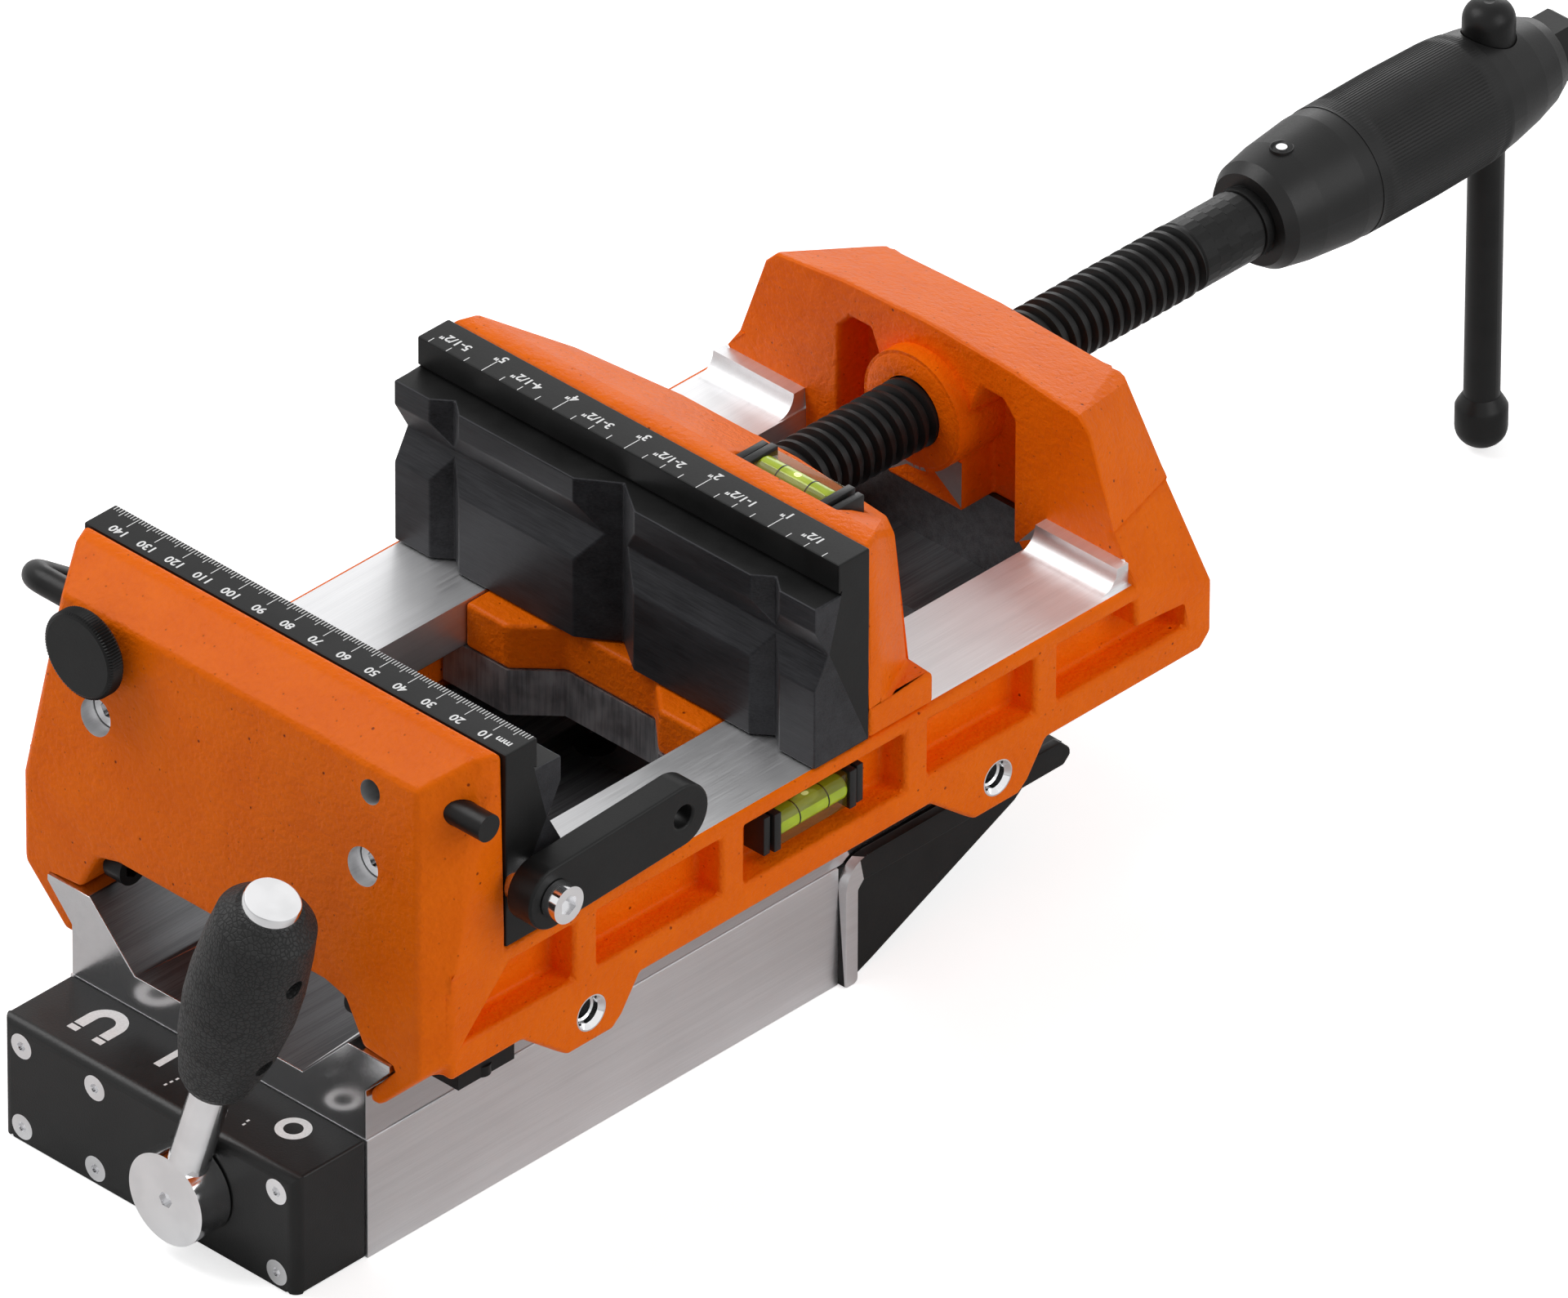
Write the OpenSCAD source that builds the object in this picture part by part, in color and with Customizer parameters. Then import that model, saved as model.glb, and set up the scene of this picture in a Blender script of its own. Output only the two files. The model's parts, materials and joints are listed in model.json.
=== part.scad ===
// Switchable magnet-base machine vise for a drill press, in millimetres.
// X runs across the jaws, Y runs from the switch lever back to the spindle handle, Z is up.
// The origin is the centre of the magnet housing's underside.

/* [Magnet base] */
// Half width of the magnet housing
mag_half_w = 53; // [51:0.5:56]
// Front end of the magnet housing
mag_front_y = -86; // [-90:1:-84]
// Rear end of the magnet housing
mag_rear_y = 84; // [74:1:92]
// Height of the magnet housing
mag_h = 35.8; // [34:0.1:37]
// Length of the black end cap
cap_l = 25; // [20:1:30]
// Corner radius of the end cap
cap_r = 3; // [1:0.5:3]
// Radius of the turning magnet
rotor_r = 11.7; // [9:0.1:12]
// Gap around the turning magnet and its shaft
rotor_gap = 0.3; // [0.2:0.05:0.5]
// Sideways place of the lever shaft
lever_x = 16.8; // [15:0.2:19]
// Radius of the lever shaft
lever_shaft_r = 8; // [5:0.5:9]
// Gap between the end cap and the lever
lever_gap = 0.5; // [0.4:0.1:1]
// Head radius of the cap screws
cap_screw_r = 3.6; // [2.8:0.1:4]

/* [Guide plate] */
// Rear end of the dovetail guide plate
guide_rear_y = 157; // [148:1:162]
// Half width of the plate's foot
guide_half_w = 52.5; // [50:0.5:52.5]
// Height at which the plate's sides start to flare
flare_z = 51; // [50:0.5:53]
// How far the flared wings end in from the cast body's sides
wing_inset = 14; // [13:0.5:17]
// Height of the wing tops
wing_z = 62.6; // [61:0.1:64]
// Half width of the trough at its floor
trough_floor_half_w = 30; // [27:1:33]
// Half width of the trough at its top
trough_top_half_w = 46; // [43:1:47]
// Height of the trough floor
trough_z = 46; // [44:0.5:48]

/* [Tail bracket] */
// Rear end of the tail bracket
tail_rear_y = 166; // [160:1:172]
// Thickness of its steel plates
tail_t = 4.5; // [3.5:0.5:5.5]
// How far its rim stands out past its cheeks
rim_out = 3; // [1:0.5:5]

/* [Cast body] */
// Half width of the cast body
body_half_w = 75; // [74:0.5:80]
// Front face of the cast body
body_front_y = -85; // [-88:1:-83]
// Rear face of the cast body
body_rear_y = 198.4; // [195:0.2:205]
// Height of the ground ways
way_z = 91.4; // [89:0.2:94]
// Thickness of the ways over the keel block
way_t = 13.4; // [11:0.2:15]
// Half width of the gap between the ways
way_gap_half_w = 42.5; // [39:0.5:44]
// Inner wall of the sides below the ways
side_inner_x = 51; // [49:0.5:54]
// Underside of the sides between the lugs
side_bottom_z = 60.5; // [58:0.5:62]
// Lower end of the bolting lugs
lug_bottom_z = 48; // [46:0.5:50]
// Depth of the side pockets
pocket_d = 9; // [6:0.5:11]
// Radius of the side bushes
bush_r = 5.2; // [4.6:0.1:6]
// Core radius of the thread in the side bushes
bush_thread_r = 3.4; // [2.6:0.1:4]
// Place of the front side bushes
bush_front_y = -28; // [-30:1:-26]
// Place of the rear side bushes
bush_rear_y = 119.5; // [117:0.5:122]
// Height of the side bushes
bush_z = 57.2; // [56:0.2:59]

/* [Jaws] */
// How far the jaw plates' ends stand in from the cast body's sides
jaw_inset = 0.2; // [0.1:0.1:3]
// Top of the jaws
jaw_top_z = 150; // [147:0.5:155]
// Thickness of the jaw plates
plate_t = 11.3; // [9.5:0.1:12.5]
// How far the prism pads stand out
pad_out = 8.5; // [7:0.5:10]
// Face that the fixed jaw plate is bolted to
fixed_y = -58.3; // [-60:0.1:-57]
// Front face of the moving jaw plate
moving_y = 61; // [45:0.5:68]
// Gap between the moving jaw and what it slides on
way_gap = 0.3; // [0.2:0.05:0.5]

/* [Rear bracket] */
// Front face of the rear bracket
bracket_y = 170; // [168:0.5:173]
// Height of the spindle axis
spindle_z = 112.7; // [112:0.1:114]
// Radius of the spindle nut
nut_r = 14; // [12.5:0.5:15]

/* [Spindle] */
// Radius of the spindle over its thread
spindle_r = 9.9; // [9:0.1:10.5]
// Depth of the thread
thread_d = 1.6; // [1:0.1:2]
// Pitch of the thread
thread_pitch = 4; // [3:0.5:6]
// Running gap of the spindle in its nut
spindle_gap = 0.08; // [0.04:0.01:0.1]
// Where the thread ends
thread_end_y = 267; // [255:1:275]
// Where the handle sleeve starts
sleeve_y = 290; // [290:1:296]
// Length of the handle sleeve
sleeve_l = 109; // [104:1:114]
// Largest radius of the handle sleeve
sleeve_r = 18.5; // [17:0.1:20]
// Distance across the flats of the hexagon end
hex_af = 17; // [14:0.5:19]

/* [Tommy bar] */
// Radius of the tommy bar
bar_r = 4.9; // [4:0.1:5.3]
// Radius of the knobs on the tommy bar
bar_knob_r = 7.1; // [6.2:0.1:8]
// Distance from the sleeve's front to the tommy bar
bar_from_sleeve = 90; // [86:0.5:92]
// Distance from the spindle axis to the far end of the lower knob
bar_drop = 111.4; // [95:0.2:111.8]

/* [Lever] */
// Tilt of the lever at rest, away from upright
lever_tilt = 18; // [-20:1:30]
// Radius of the lever hub
hub_r = 13; // [12:0.5:15]
// Radius of the lever rod
rod_r = 5.5; // [4.5:0.1:6]
// Distance from the hub axis to the end of the grip
lever_l = 108; // [98:1:116]
// Distance from the hub axis to the start of the grip
grip_start = 43; // [40:1:50]
// Largest radius of the grip
grip_r = 15; // [12:0.5:16]

/* [Stops] */
// Radius of the stop rod
stop_r = 3.8; // [3:0.1:4.4]
// Place of the stop rod inside the fixed jaw
stop_y = -69.5; // [-70:0.5:-69]
// Depth of the stop rod below the jaw tops
stop_drop = 14; // [13:0.5:15]
// Length of the stop rod's bent leg
stop_leg_l = 45; // [30:1:60]
// Radius of the knurled knob
knob_r = 12.3; // [10:0.1:13]
// Distance of the knurled knob, and of the bare thread beside it, from the cast body's sides
knob_inset = 27.5; // [25:0.5:30]
// Length of the stop arm between its holes
arm_l = 46; // [38:1:56]
// Half width of the stop arm
arm_half_w = 9; // [8:0.5:10]
// Thickness of the stop arm
arm_t = 8.5; // [6:0.5:10]

/* [Spirit levels] */
// Length of a spirit level
vial_l = 36; // [32:1:38]
// Width of a spirit level
vial_w = 11.4; // [10:0.2:12]
// Outer radius of its liquid tube
vial_r = 4; // [3:0.1:4.2]

/* [Hidden] */
$fn = 64;
eps = 0.01;
gap = 0.3;
wing_half_w = body_half_w - wing_inset;
jaw_half_w = body_half_w - jaw_inset;
knob_x = body_half_w - knob_inset;
stop_z = jaw_top_z - stop_drop;

orange = "darkorange";
bright_steel = "silver";
black_oxide = "#2b2c2e";
black_plastic = "#1d1e20";

// Shapes that repeat

// Extrudes an outline drawn in Y and Z from x0 to x1.
module along_x(x0, x1) {
    translate([x0, 0, 0])
        rotate([90, 0, 90])
            linear_extrude(x1 - x0)
                children();
}

// Extrudes an outline drawn in X and Z from y0 to y1.
module along_y(y0, y1) {
    translate([0, y1, 0])
        rotate([90, 0, 0])
            linear_extrude(y1 - y0)
                children();
}

module rod_y(y0, y1, r, x = 0, z = 0) {
    translate([x, y1, z])
        rotate([90, 0, 0])
            cylinder(h = y1 - y0, r = r);
}

module rod_x(x0, x1, r, y = 0, z = 0) {
    translate([x0, y, z])
        rotate([0, 90, 0])
            cylinder(h = x1 - x0, r = r);
}

module box(x0, x1, y0, y1, z0, z1) {
    translate([x0, y0, z0])
        cube([x1 - x0, y1 - y0, z1 - z0]);
}

module both_sides() {
    children();
    mirror([1, 0, 0])
        children();
}

// The convex solid over the given corner points.
module block_of(points) {
    hull()
        polyhedron(points = points, faces = [[for (i = [0 : len(points) - 1]) i]]);
}

function mirrored(half) = concat(half, [for (i = [len(half) - 1 : -1 : 0]) [-half[i][0], half[i][1]]]);

function arc(cx, cy, r, a0, a1, n = 8) =
    [for (i = [0 : n]) [cx + r * cos(a0 + (a1 - a0) * i / n), cy + r * sin(a0 + (a1 - a0) * i / n)]];

// A socket-head screw that points down, with the top of its head at the origin.
module socket_screw(head_r, head_h, shank_r, shank_l, key_af) {
    difference() {
        union() {
            translate([0, 0, -head_h])
                cylinder(h = head_h, r = head_r);
            translate([0, 0, -head_h - shank_l])
                cylinder(h = shank_l + eps, r = shank_r);
        }
        translate([0, 0, -head_h * 0.6])
            cylinder(h = head_h, r = key_af / sqrt(3), $fn = 6);
    }
}

// A countersunk screw that points down, with its flat head's top at the origin.
module flat_screw(head_r, shank_r, length, key_af) {
    difference() {
        flat_screw_hole(head_r, shank_r, length);
        translate([0, 0, -head_r * 0.5])
            cylinder(h = head_r, r = key_af / sqrt(3), $fn = 6);
    }
}

// The hole that a countersunk screw fills.
module flat_screw_hole(head_r, shank_r, length) {
    translate([0, 0, shank_r - head_r])
        cylinder(h = head_r - shank_r, r1 = shank_r, r2 = head_r);
    translate([0, 0, -length])
        cylinder(h = length - head_r + shank_r + eps, r = shank_r);
}

// Magnet base

cap_front_y = mag_front_y - cap_l;
lever_z = mag_h / 2;
cap_half_w = mag_half_w - 0.5;
cap_shank_r = 1.9;
cap_screw_x = cap_half_w - cap_r - cap_screw_r - 0.3;
cap_screw_columns = [-cap_screw_x, -19.3, cap_screw_x];
cap_screw_rows = [cap_screw_r + 0.8, mag_h - cap_r - cap_screw_r];
cap_screw_depth = 11;

cell_wall = 7;
cell_x0 = -cap_screw_x + cap_shank_r + 1;
cell_x1 = lever_x - rotor_r - rotor_gap - cell_wall;
cell_z0 = cell_wall;
cell_z1 = cap_screw_rows[1] - cap_shank_r - 1;
cell_rear_y = mag_rear_y - cell_wall - 1;

module at_cap_screws() {
    for (x = cap_screw_columns, z = cap_screw_rows)
        translate([x, cap_front_y, z])
            rotate([90, 0, 0])
                children();
}

guide_shank_r = 2.5;
guide_head_r = 5.5;
guide_screw_depth = 5;
guide_screw_x = 20;
guide_screw_rows = [-12, 70];

module at_guide_screws() {
    for (x = [-1, 1], y = guide_screw_rows)
        translate([x * guide_screw_x, y, trough_z])
            children();
}

tail_shank_r = 2.5;
tail_head_r = 4.2;
tail_head_h = 4.5;
tail_screw_x = 36;
tail_screw_depth = cell_wall - 1;
tail_bolt_x = 20;
tail_bolt_y = 130;
tail_bolt_depth = 6;

module at_tail_screws() {
    for (x = [-1, 1], z = [0.25, 0.72])
        translate([x * tail_screw_x, mag_rear_y + tail_t, mag_h * z])
            rotate([-90, 0, 0])
                children();
}

module at_tail_bolts() {
    for (x = [-1, 1])
        translate([x * tail_bolt_x, tail_bolt_y, mag_h - tail_t])
            rotate([180, 0, 0])
                children();
}

module magnet_housing() {
    color(bright_steel)
        difference() {
            box(-mag_half_w, mag_half_w, mag_front_y, mag_rear_y, 0, mag_h);
            rod_y(mag_front_y - eps, cell_rear_y, rotor_r + rotor_gap, lever_x, lever_z);
            box(cell_x0, cell_x1, mag_front_y - eps, cell_rear_y, cell_z0, cell_z1);
            at_cap_screws()
                flat_screw_hole(cap_screw_r, cap_shank_r, cap_l + cap_screw_depth);
            at_guide_screws()
                flat_screw_hole(guide_head_r, guide_shank_r, trough_z - mag_h + guide_screw_depth);
            at_tail_screws()
                translate([0, 0, -tail_t - tail_screw_depth])
                    cylinder(h = tail_t + tail_screw_depth, r = tail_shank_r);
        }
}

module fixed_magnet() {
    color(black_oxide)
        box(cell_x0, cell_x1, mag_front_y, cell_rear_y, cell_z0, cell_z1);
}

module end_cap() {
    color(black_plastic)
        difference() {
            intersection() {
                along_x(-cap_half_w, cap_half_w)
                    polygon(concat([[mag_front_y, 0], [mag_front_y, mag_h]],
                                   arc(cap_front_y + cap_r, mag_h - cap_r, cap_r, 90, 180),
                                   [[cap_front_y, 0]]));
                linear_extrude(mag_h)
                    polygon(mirrored(concat([[cap_half_w, mag_front_y]],
                                            arc(cap_half_w - cap_r, cap_front_y + cap_r, cap_r, 0, -90))));
            }
            rod_y(cap_front_y - eps, mag_front_y + eps, lever_shaft_r + rotor_gap, lever_x, lever_z);
            at_cap_screws()
                flat_screw_hole(cap_screw_r, cap_shank_r, cap_l + eps);
        }
}

module cap_screws() {
    color(bright_steel)
        at_cap_screws()
            flat_screw(cap_screw_r, cap_shank_r, cap_l + cap_screw_depth, 2.5);
}

// Guide plate and tail bracket

wing_edge = 2.2;

module guide_plate() {
    color(bright_steel)
        difference() {
            along_y(mag_front_y, guide_rear_y)
                polygon(mirrored([[guide_half_w, mag_h], [guide_half_w, flare_z],
                                  [wing_half_w, wing_z - wing_edge], [wing_half_w, wing_z],
                                  [trough_top_half_w, wing_z], [trough_floor_half_w, trough_z]]));
            at_guide_screws()
                flat_screw_hole(guide_head_r, guide_shank_r, trough_z - mag_h + guide_screw_depth);
            at_tail_bolts()
                translate([0, 0, -tail_t - tail_bolt_depth])
                    cylinder(h = tail_t + tail_bolt_depth, r = tail_shank_r);
        }
}

module guide_screws() {
    color(black_oxide)
        at_guide_screws()
            flat_screw(guide_head_r, guide_shank_r, trough_z - mag_h + guide_screw_depth, 4);
}

cheek_t = 4;
rim_top_z = mag_h + 2.2;
rim_corner_r = 8;
rim_h = 7.5;
cheek_tip_z = mag_h - rim_h + 1;

function rim_outline(y0, y1, z1, z0) = concat(
    [[y0, 0]], arc(y0 + rim_corner_r, z1 - rim_corner_r, rim_corner_r, 180, 90),
    [[y1 - 3, z1], [y1, z1 - 3], [y1, z0 + 2], [y1 - 2, z0], [y0 + tail_t + 2, z0],
     [y0 + tail_t, z0 - 2], [y0 + tail_t, 1.5], [y0 + tail_t - 1.5, 0]]);

module tail_bracket() {
    front = mag_rear_y;
    color(black_oxide)
        difference() {
            union() {
                box(-mag_half_w, mag_half_w, front, front + tail_t, 0, mag_h);
                box(-mag_half_w, mag_half_w, front, tail_rear_y, mag_h - tail_t, mag_h);
                both_sides()
                    along_x(mag_half_w - cheek_t, mag_half_w)
                        polygon([[front, 0], [front + tail_t + 3, 0], [front + tail_t + 8, 2],
                                 [tail_rear_y - 17, cheek_tip_z - 4], [tail_rear_y - 12, cheek_tip_z],
                                 [tail_rear_y, cheek_tip_z], [tail_rear_y, mag_h], [front, mag_h]]);
                both_sides()
                    along_x(mag_half_w - eps, mag_half_w + rim_out)
                        polygon(rim_outline(front, tail_rear_y, rim_top_z, rim_top_z - rim_h));
            }
            at_tail_screws()
                translate([0, 0, -tail_t - eps])
                    cylinder(h = tail_t + 2 * eps, r = tail_shank_r);
            at_tail_bolts()
                translate([0, 0, -tail_t - eps])
                    cylinder(h = tail_t + 2 * eps, r = tail_shank_r);
        }
}

module tail_screws() {
    color(black_oxide) {
        at_tail_screws()
            translate([0, 0, tail_head_h])
                socket_screw(tail_head_r, tail_head_h, tail_shank_r, tail_t + tail_screw_depth, 4);
        at_tail_bolts()
            translate([0, 0, tail_head_h])
                socket_screw(tail_head_r, tail_head_h, tail_shank_r, tail_t + tail_bolt_depth, 4);
    }
}

// Cast body

front_top_y = fixed_y - 6.4;
front_edge_y = body_front_y + 7;
front_edge_z = jaw_top_z - 7;
lug_half_w = 9;
lug_run = 15;
pocket_z0 = way_z - 21.4;
pocket_z1 = way_z - 4.6;
pocket_x = body_half_w - pocket_d;
arch_top_z = wing_z + 14;
envelope = [[wing_half_w + gap, wing_z], [wing_half_w + gap, wing_z - wing_edge - 0.2],
            [guide_half_w + gap, flare_z - 0.3], [guide_half_w + gap, 0]];
shoe_y0 = body_front_y + 19;
shoe_y1 = shoe_y0 + 20;
shoe_x1 = wing_half_w + 4.5;
shoe_z0 = lug_bottom_z - 0.5;

lock_r = 2.5;
lock_head_r = 5;
lock_head_h = 6;
lock_l = 16;
lock_x = 40;
lock_y = body_front_y + 9;
lock_z = wing_z + 7;

module at_lock_screws() {
    both_sides()
        translate([lock_x, lock_y, lock_z])
            rotate([0, -90, 0])
                children();
}

fixed_screw_x = knob_x;
fixed_screw_z = jaw_top_z - 35.2;
plate_shank_r = 3;
plate_head_r = 5;
plate_head_h = 6;
fixed_head_y = body_front_y + 8;
stop_gap = 0.1;
knob_thread_r = 3.4;

boss_r = nut_r + 3;
boss_y = bracket_y - 5;
nut_screw_y = (boss_y + body_rear_y) / 2;
nut_screw_r = 2.5;
nut_screw_in = 2;
bracket_under_z = way_z - 6.4;
bracket_half_gap = 38;
bush_wall = 2;
bush_l = body_half_w - wing_half_w - bush_wall;

function lug(y) = [
    [y + lug_half_w + lug_run * 0.6, side_bottom_z], [y + lug_half_w + 2.5, lug_bottom_z + 3],
    [y + lug_half_w - 1, lug_bottom_z], [y - lug_half_w + 1, lug_bottom_z],
    [y - lug_half_w - 3, lug_bottom_z + 3], [y - lug_half_w - lug_run, side_bottom_z]];

module side_walls() {
    rear = body_rear_y;
    both_sides()
        along_x(side_inner_x, body_half_w)
            polygon(concat([[front_edge_y, way_z], [bracket_y, way_z], [rear, way_z - 11.4],
                            [rear, side_bottom_z + 4], [rear - 4, side_bottom_z]],
                           lug(bush_rear_y), lug(bush_front_y),
                           [[front_edge_y, side_bottom_z]]));
}

module ways() {
    both_sides()
        along_x(way_gap_half_w, side_inner_x + eps)
            polygon([[fixed_y - 1, way_z - way_t], [bracket_y + 1, way_z - way_t],
                     [bracket_y + 1, way_z], [fixed_y - 1, way_z]]);
}

lip_r = 6;

// The run-out of the cutter at the rear end of each way.
module way_lips() {
    both_sides()
        along_x(way_gap_half_w + 0.5, body_half_w - 3)
            polygon(concat([[bracket_y + eps, way_z - 1], [bracket_y - 4 - lip_r, way_z - 1]],
                           arc(bracket_y - 4 - lip_r, way_z + lip_r, lip_r, -90, 0),
                           [[bracket_y + eps, way_z + lip_r]]));
}

module fixed_jaw_block() {
    block_of([for (s = [-1, 1], p = [
        [body_half_w, fixed_y, way_z - 1], [body_half_w, fixed_y, way_z + 6],
        [body_half_w - 1.2, fixed_y, jaw_top_z], [body_half_w - 4, front_top_y, jaw_top_z],
        [body_half_w - 12, front_edge_y, front_edge_z], [body_half_w - 5, body_front_y, way_z - 3],
        [body_half_w - 5, body_front_y, way_z - 4.5], [body_half_w, front_edge_y, way_z - 4.5],
        [body_half_w, fixed_y, way_z - 4.5]]) [s * p[0], p[1], p[2]]]);
}

// The front wall below the fixed jaw, with the arch over the trough and a dovetail foot on each side.
module both_feet() {
    foot_bottom_z = shoe_z0;
    intersection() {
        along_y(body_front_y, fixed_y)
            polygon(mirrored([[body_half_w, way_z - 4], [body_half_w, foot_bottom_z + 19],
                              [body_half_w - 19, foot_bottom_z], [guide_half_w, foot_bottom_z],
                              [guide_half_w, wing_z], [guide_half_w - 2, wing_z], [44, arch_top_z - 2],
                              [37, arch_top_z]]));
        linear_extrude(way_z)
            polygon(mirrored([[body_half_w - 5, body_front_y], [body_half_w, front_edge_y],
                              [body_half_w, fixed_y]]));
    }
}

module rear_bracket() {
    waist_z = way_z + 12.6;
    top = spindle_z + 25.3;
    front_waist = body_half_w - 8.4;
    rear_waist = body_half_w - 16.5;
    block_of([for (s = [-1, 1], p = [
        [body_half_w, bracket_y, way_z - 13], [body_half_w, bracket_y, way_z],
        [body_half_w - 1.5, bracket_y, way_z + 2], [front_waist, bracket_y, waist_z],
        [body_half_w, body_rear_y, way_z - 13], [body_half_w, body_rear_y, way_z - 11.4],
        [body_half_w - 13, body_rear_y, way_z + 5.5], [rear_waist, body_rear_y, waist_z]])
        [s * p[0], p[1], p[2]]]);
    block_of([for (s = [-1, 1], p = [
        [front_waist, bracket_y, waist_z - 0.2], [body_half_w - 17, bracket_y, top - 8],
        [body_half_w - 21, bracket_y, top - 4], [30, bracket_y, top - 1.2], [0, bracket_y, top],
        [rear_waist, body_rear_y, waist_z - 0.2], [body_half_w - 19, body_rear_y, waist_z + 5],
        [body_half_w - 30.5, body_rear_y, top - 11], [body_half_w - 35, body_rear_y, top - 9],
        [0, body_rear_y, top - 7.5]]) [s * p[0], p[1], p[2]]]);
    rod_y(boss_y, bracket_y + 13, boss_r, 0, spindle_z);
}

// A recess in the outer face of each side wall, drawn in Y and Z.
module side_recess(points) {
    both_sides()
        along_x(pocket_x, body_half_w + 1)
            polygon(points);
}

module side_recesses() {
    z0 = pocket_z0;
    z1 = pocket_z1;
    rib = 8.6;
    front_rib_y = bush_front_y - 6;
    level_y0 = 27.5;
    level_y1 = 85.6;
    rear_rib_y = bush_rear_y + 13.5;
    slope_y = body_rear_y - 10;
    side_recess([[body_front_y + 12, z0], [front_rib_y, z0], [front_rib_y, z1], [fixed_y + 1.5, z1]]);
    side_recess([[front_rib_y + rib, z0], [level_y0 - rib, z0], [level_y0 - rib, z1],
                 [front_rib_y + rib, z1]]);
    side_recess([[level_y0, z0 - 1], [level_y1, z0 - 1], [level_y1, z1], [level_y0, z1]]);
    side_recess([[level_y1 + rib, z0], [rear_rib_y, z0], [rear_rib_y, z1], [level_y1 + rib, z1]]);
    side_recess([[rear_rib_y + rib, z0], [slope_y, z0], [slope_y, z0 + 7], [slope_y - 12, z1],
                 [rear_rib_y + rib, z1]]);
}

module bracket_recesses() {
    depth = 12;
    inner = nut_r - 1;
    outer = bracket_half_gap - 7;
    both_sides()
        difference() {
            along_y(bracket_y - eps, bracket_y + depth)
                polygon([[inner, bracket_under_z - eps], [outer, bracket_under_z - eps],
                         [outer, spindle_z + 9], [outer - 4, spindle_z + 13.5],
                         [inner + 7, spindle_z + 13.5], [inner, spindle_z]]);
            rod_y(bracket_y - 1, bracket_y + depth + 1, boss_r, 0, spindle_z);
        }
}

module bed() {
    color(orange)
        difference() {
            union() {
                difference() {
                    union() {
                        side_walls();
                        both_feet();
                    }
                    side_recesses();
                }
                ways();
                way_lips();
                fixed_jaw_block();
                rear_bracket();
            }
            along_y(body_front_y - 1, body_rear_y + 1)
                polygon(mirrored(envelope));
            along_y(bracket_y - 12, body_rear_y + 1)
                polygon(mirrored([[bracket_half_gap, 0], [bracket_half_gap, bracket_under_z - 4],
                                  [bracket_half_gap - 4, bracket_under_z]]));
            both_sides()
                box(0, shoe_x1 + gap, shoe_y0 - gap, shoe_y1 + gap, 0, side_bottom_z);
            bracket_recesses();
            rod_y(boss_y - 1, body_rear_y + 1, nut_r, 0, spindle_z);
            translate([0, nut_screw_y, bracket_under_z - 1])
                cylinder(h = spindle_z - nut_r - bracket_under_z + 2, r = nut_screw_r);
            rod_x(-body_half_w - 1, body_half_w + 1, stop_r + stop_gap, stop_y, stop_z);
            both_sides() {
                rod_y(body_front_y - 1, stop_y, knob_thread_r, knob_x, stop_z);
                rod_y(body_front_y - 1, fixed_y + 1, plate_shank_r, fixed_screw_x, fixed_screw_z);
                rod_y(body_front_y - 1, fixed_head_y + plate_head_h, plate_head_r + gap,
                      fixed_screw_x, fixed_screw_z);
                for (y = [bush_front_y, bush_rear_y])
                    rod_x(body_half_w - bush_l, body_half_w + 1, bush_r, y, bush_z);
            }
            at_lock_screws() {
                translate([0, 0, -lock_head_h])
                    cylinder(h = lock_head_h + 5, r = lock_head_r + gap);
                translate([0, 0, -lock_head_h - lock_l])
                    cylinder(h = lock_l + 1, r = lock_r);
            }
            at_shoe_screws()
                cylinder(h = shoe_screw_l, r = shoe_screw_r);
        }
}

shoe_screw_r = 1.6;
shoe_screw_l = 20;
shoe_head_r = 2.8;
shoe_head_h = 3;

module at_shoe_screws() {
    both_sides()
        translate([wing_half_w + 2.4, (shoe_y0 + shoe_y1) / 2, shoe_z0 + shoe_head_h])
            children();
}

// The gibs that hook under the wings of the guide plate.
module clamp_shoes() {
    color(black_oxide)
        difference() {
            both_sides()
                along_y(shoe_y0, shoe_y1)
                    polygon([[shoe_x1, shoe_z0], [shoe_x1, side_bottom_z],
                             [wing_half_w + gap, side_bottom_z],
                             [wing_half_w + gap, wing_z - wing_edge - 0.2],
                             [guide_half_w + gap, flare_z - 0.3], [guide_half_w + gap, shoe_z0]]);
            at_shoe_screws() {
                cylinder(h = shoe_screw_l, r = shoe_screw_r);
                translate([0, 0, -shoe_head_h - eps])
                    cylinder(h = shoe_head_h + eps, r = shoe_head_r);
            }
        }
}

module lock_screws() {
    color(black_oxide) {
        at_lock_screws()
            socket_screw(lock_head_r, lock_head_h, lock_r, lock_l, 5);
        at_shoe_screws()
            rotate([180, 0, 0])
                translate([0, 0, shoe_head_h])
                    socket_screw(shoe_head_r, shoe_head_h, shoe_screw_r, shoe_screw_l, 2.5);
    }
}

module side_bushes() {
    color(bright_steel)
        both_sides()
            for (y = [bush_front_y, bush_rear_y])
                difference() {
                    rod_x(body_half_w - bush_l, body_half_w, bush_r, y, bush_z);
                    rod_x(body_half_w - bush_l - 1, body_half_w + 1, bush_thread_r, y, bush_z);
                }
}

// Jaw plates, drawn with their back at y = 0 and their grip face towards +Y

plate_z0 = way_z + 0.5;
pad_top_z = jaw_top_z - 9.5;
groove_mid_z = jaw_top_z - 25.5;
groove_half_h = 8.8;
groove_d = 4.7;
outer_groove_x = jaw_half_w - 17.8;
plate_screw_in = 8;
pad_front = plate_t + pad_out;
arm_screw_y = plate_t / 2;
arm_pivot_z = jaw_top_z - 40;
arm_screw_r = 2.5;
arm_screw_in = 12;

module upright_groove(x, half_w, depth) {
    translate([x, 0, plate_z0 - 1])
        linear_extrude(pad_top_z - plate_z0 + 2)
            polygon([[-half_w - 1, pad_front + 1], [-half_w, pad_front], [0, pad_front - depth],
                     [half_w, pad_front], [half_w + 1, pad_front + 1]]);
}

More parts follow.
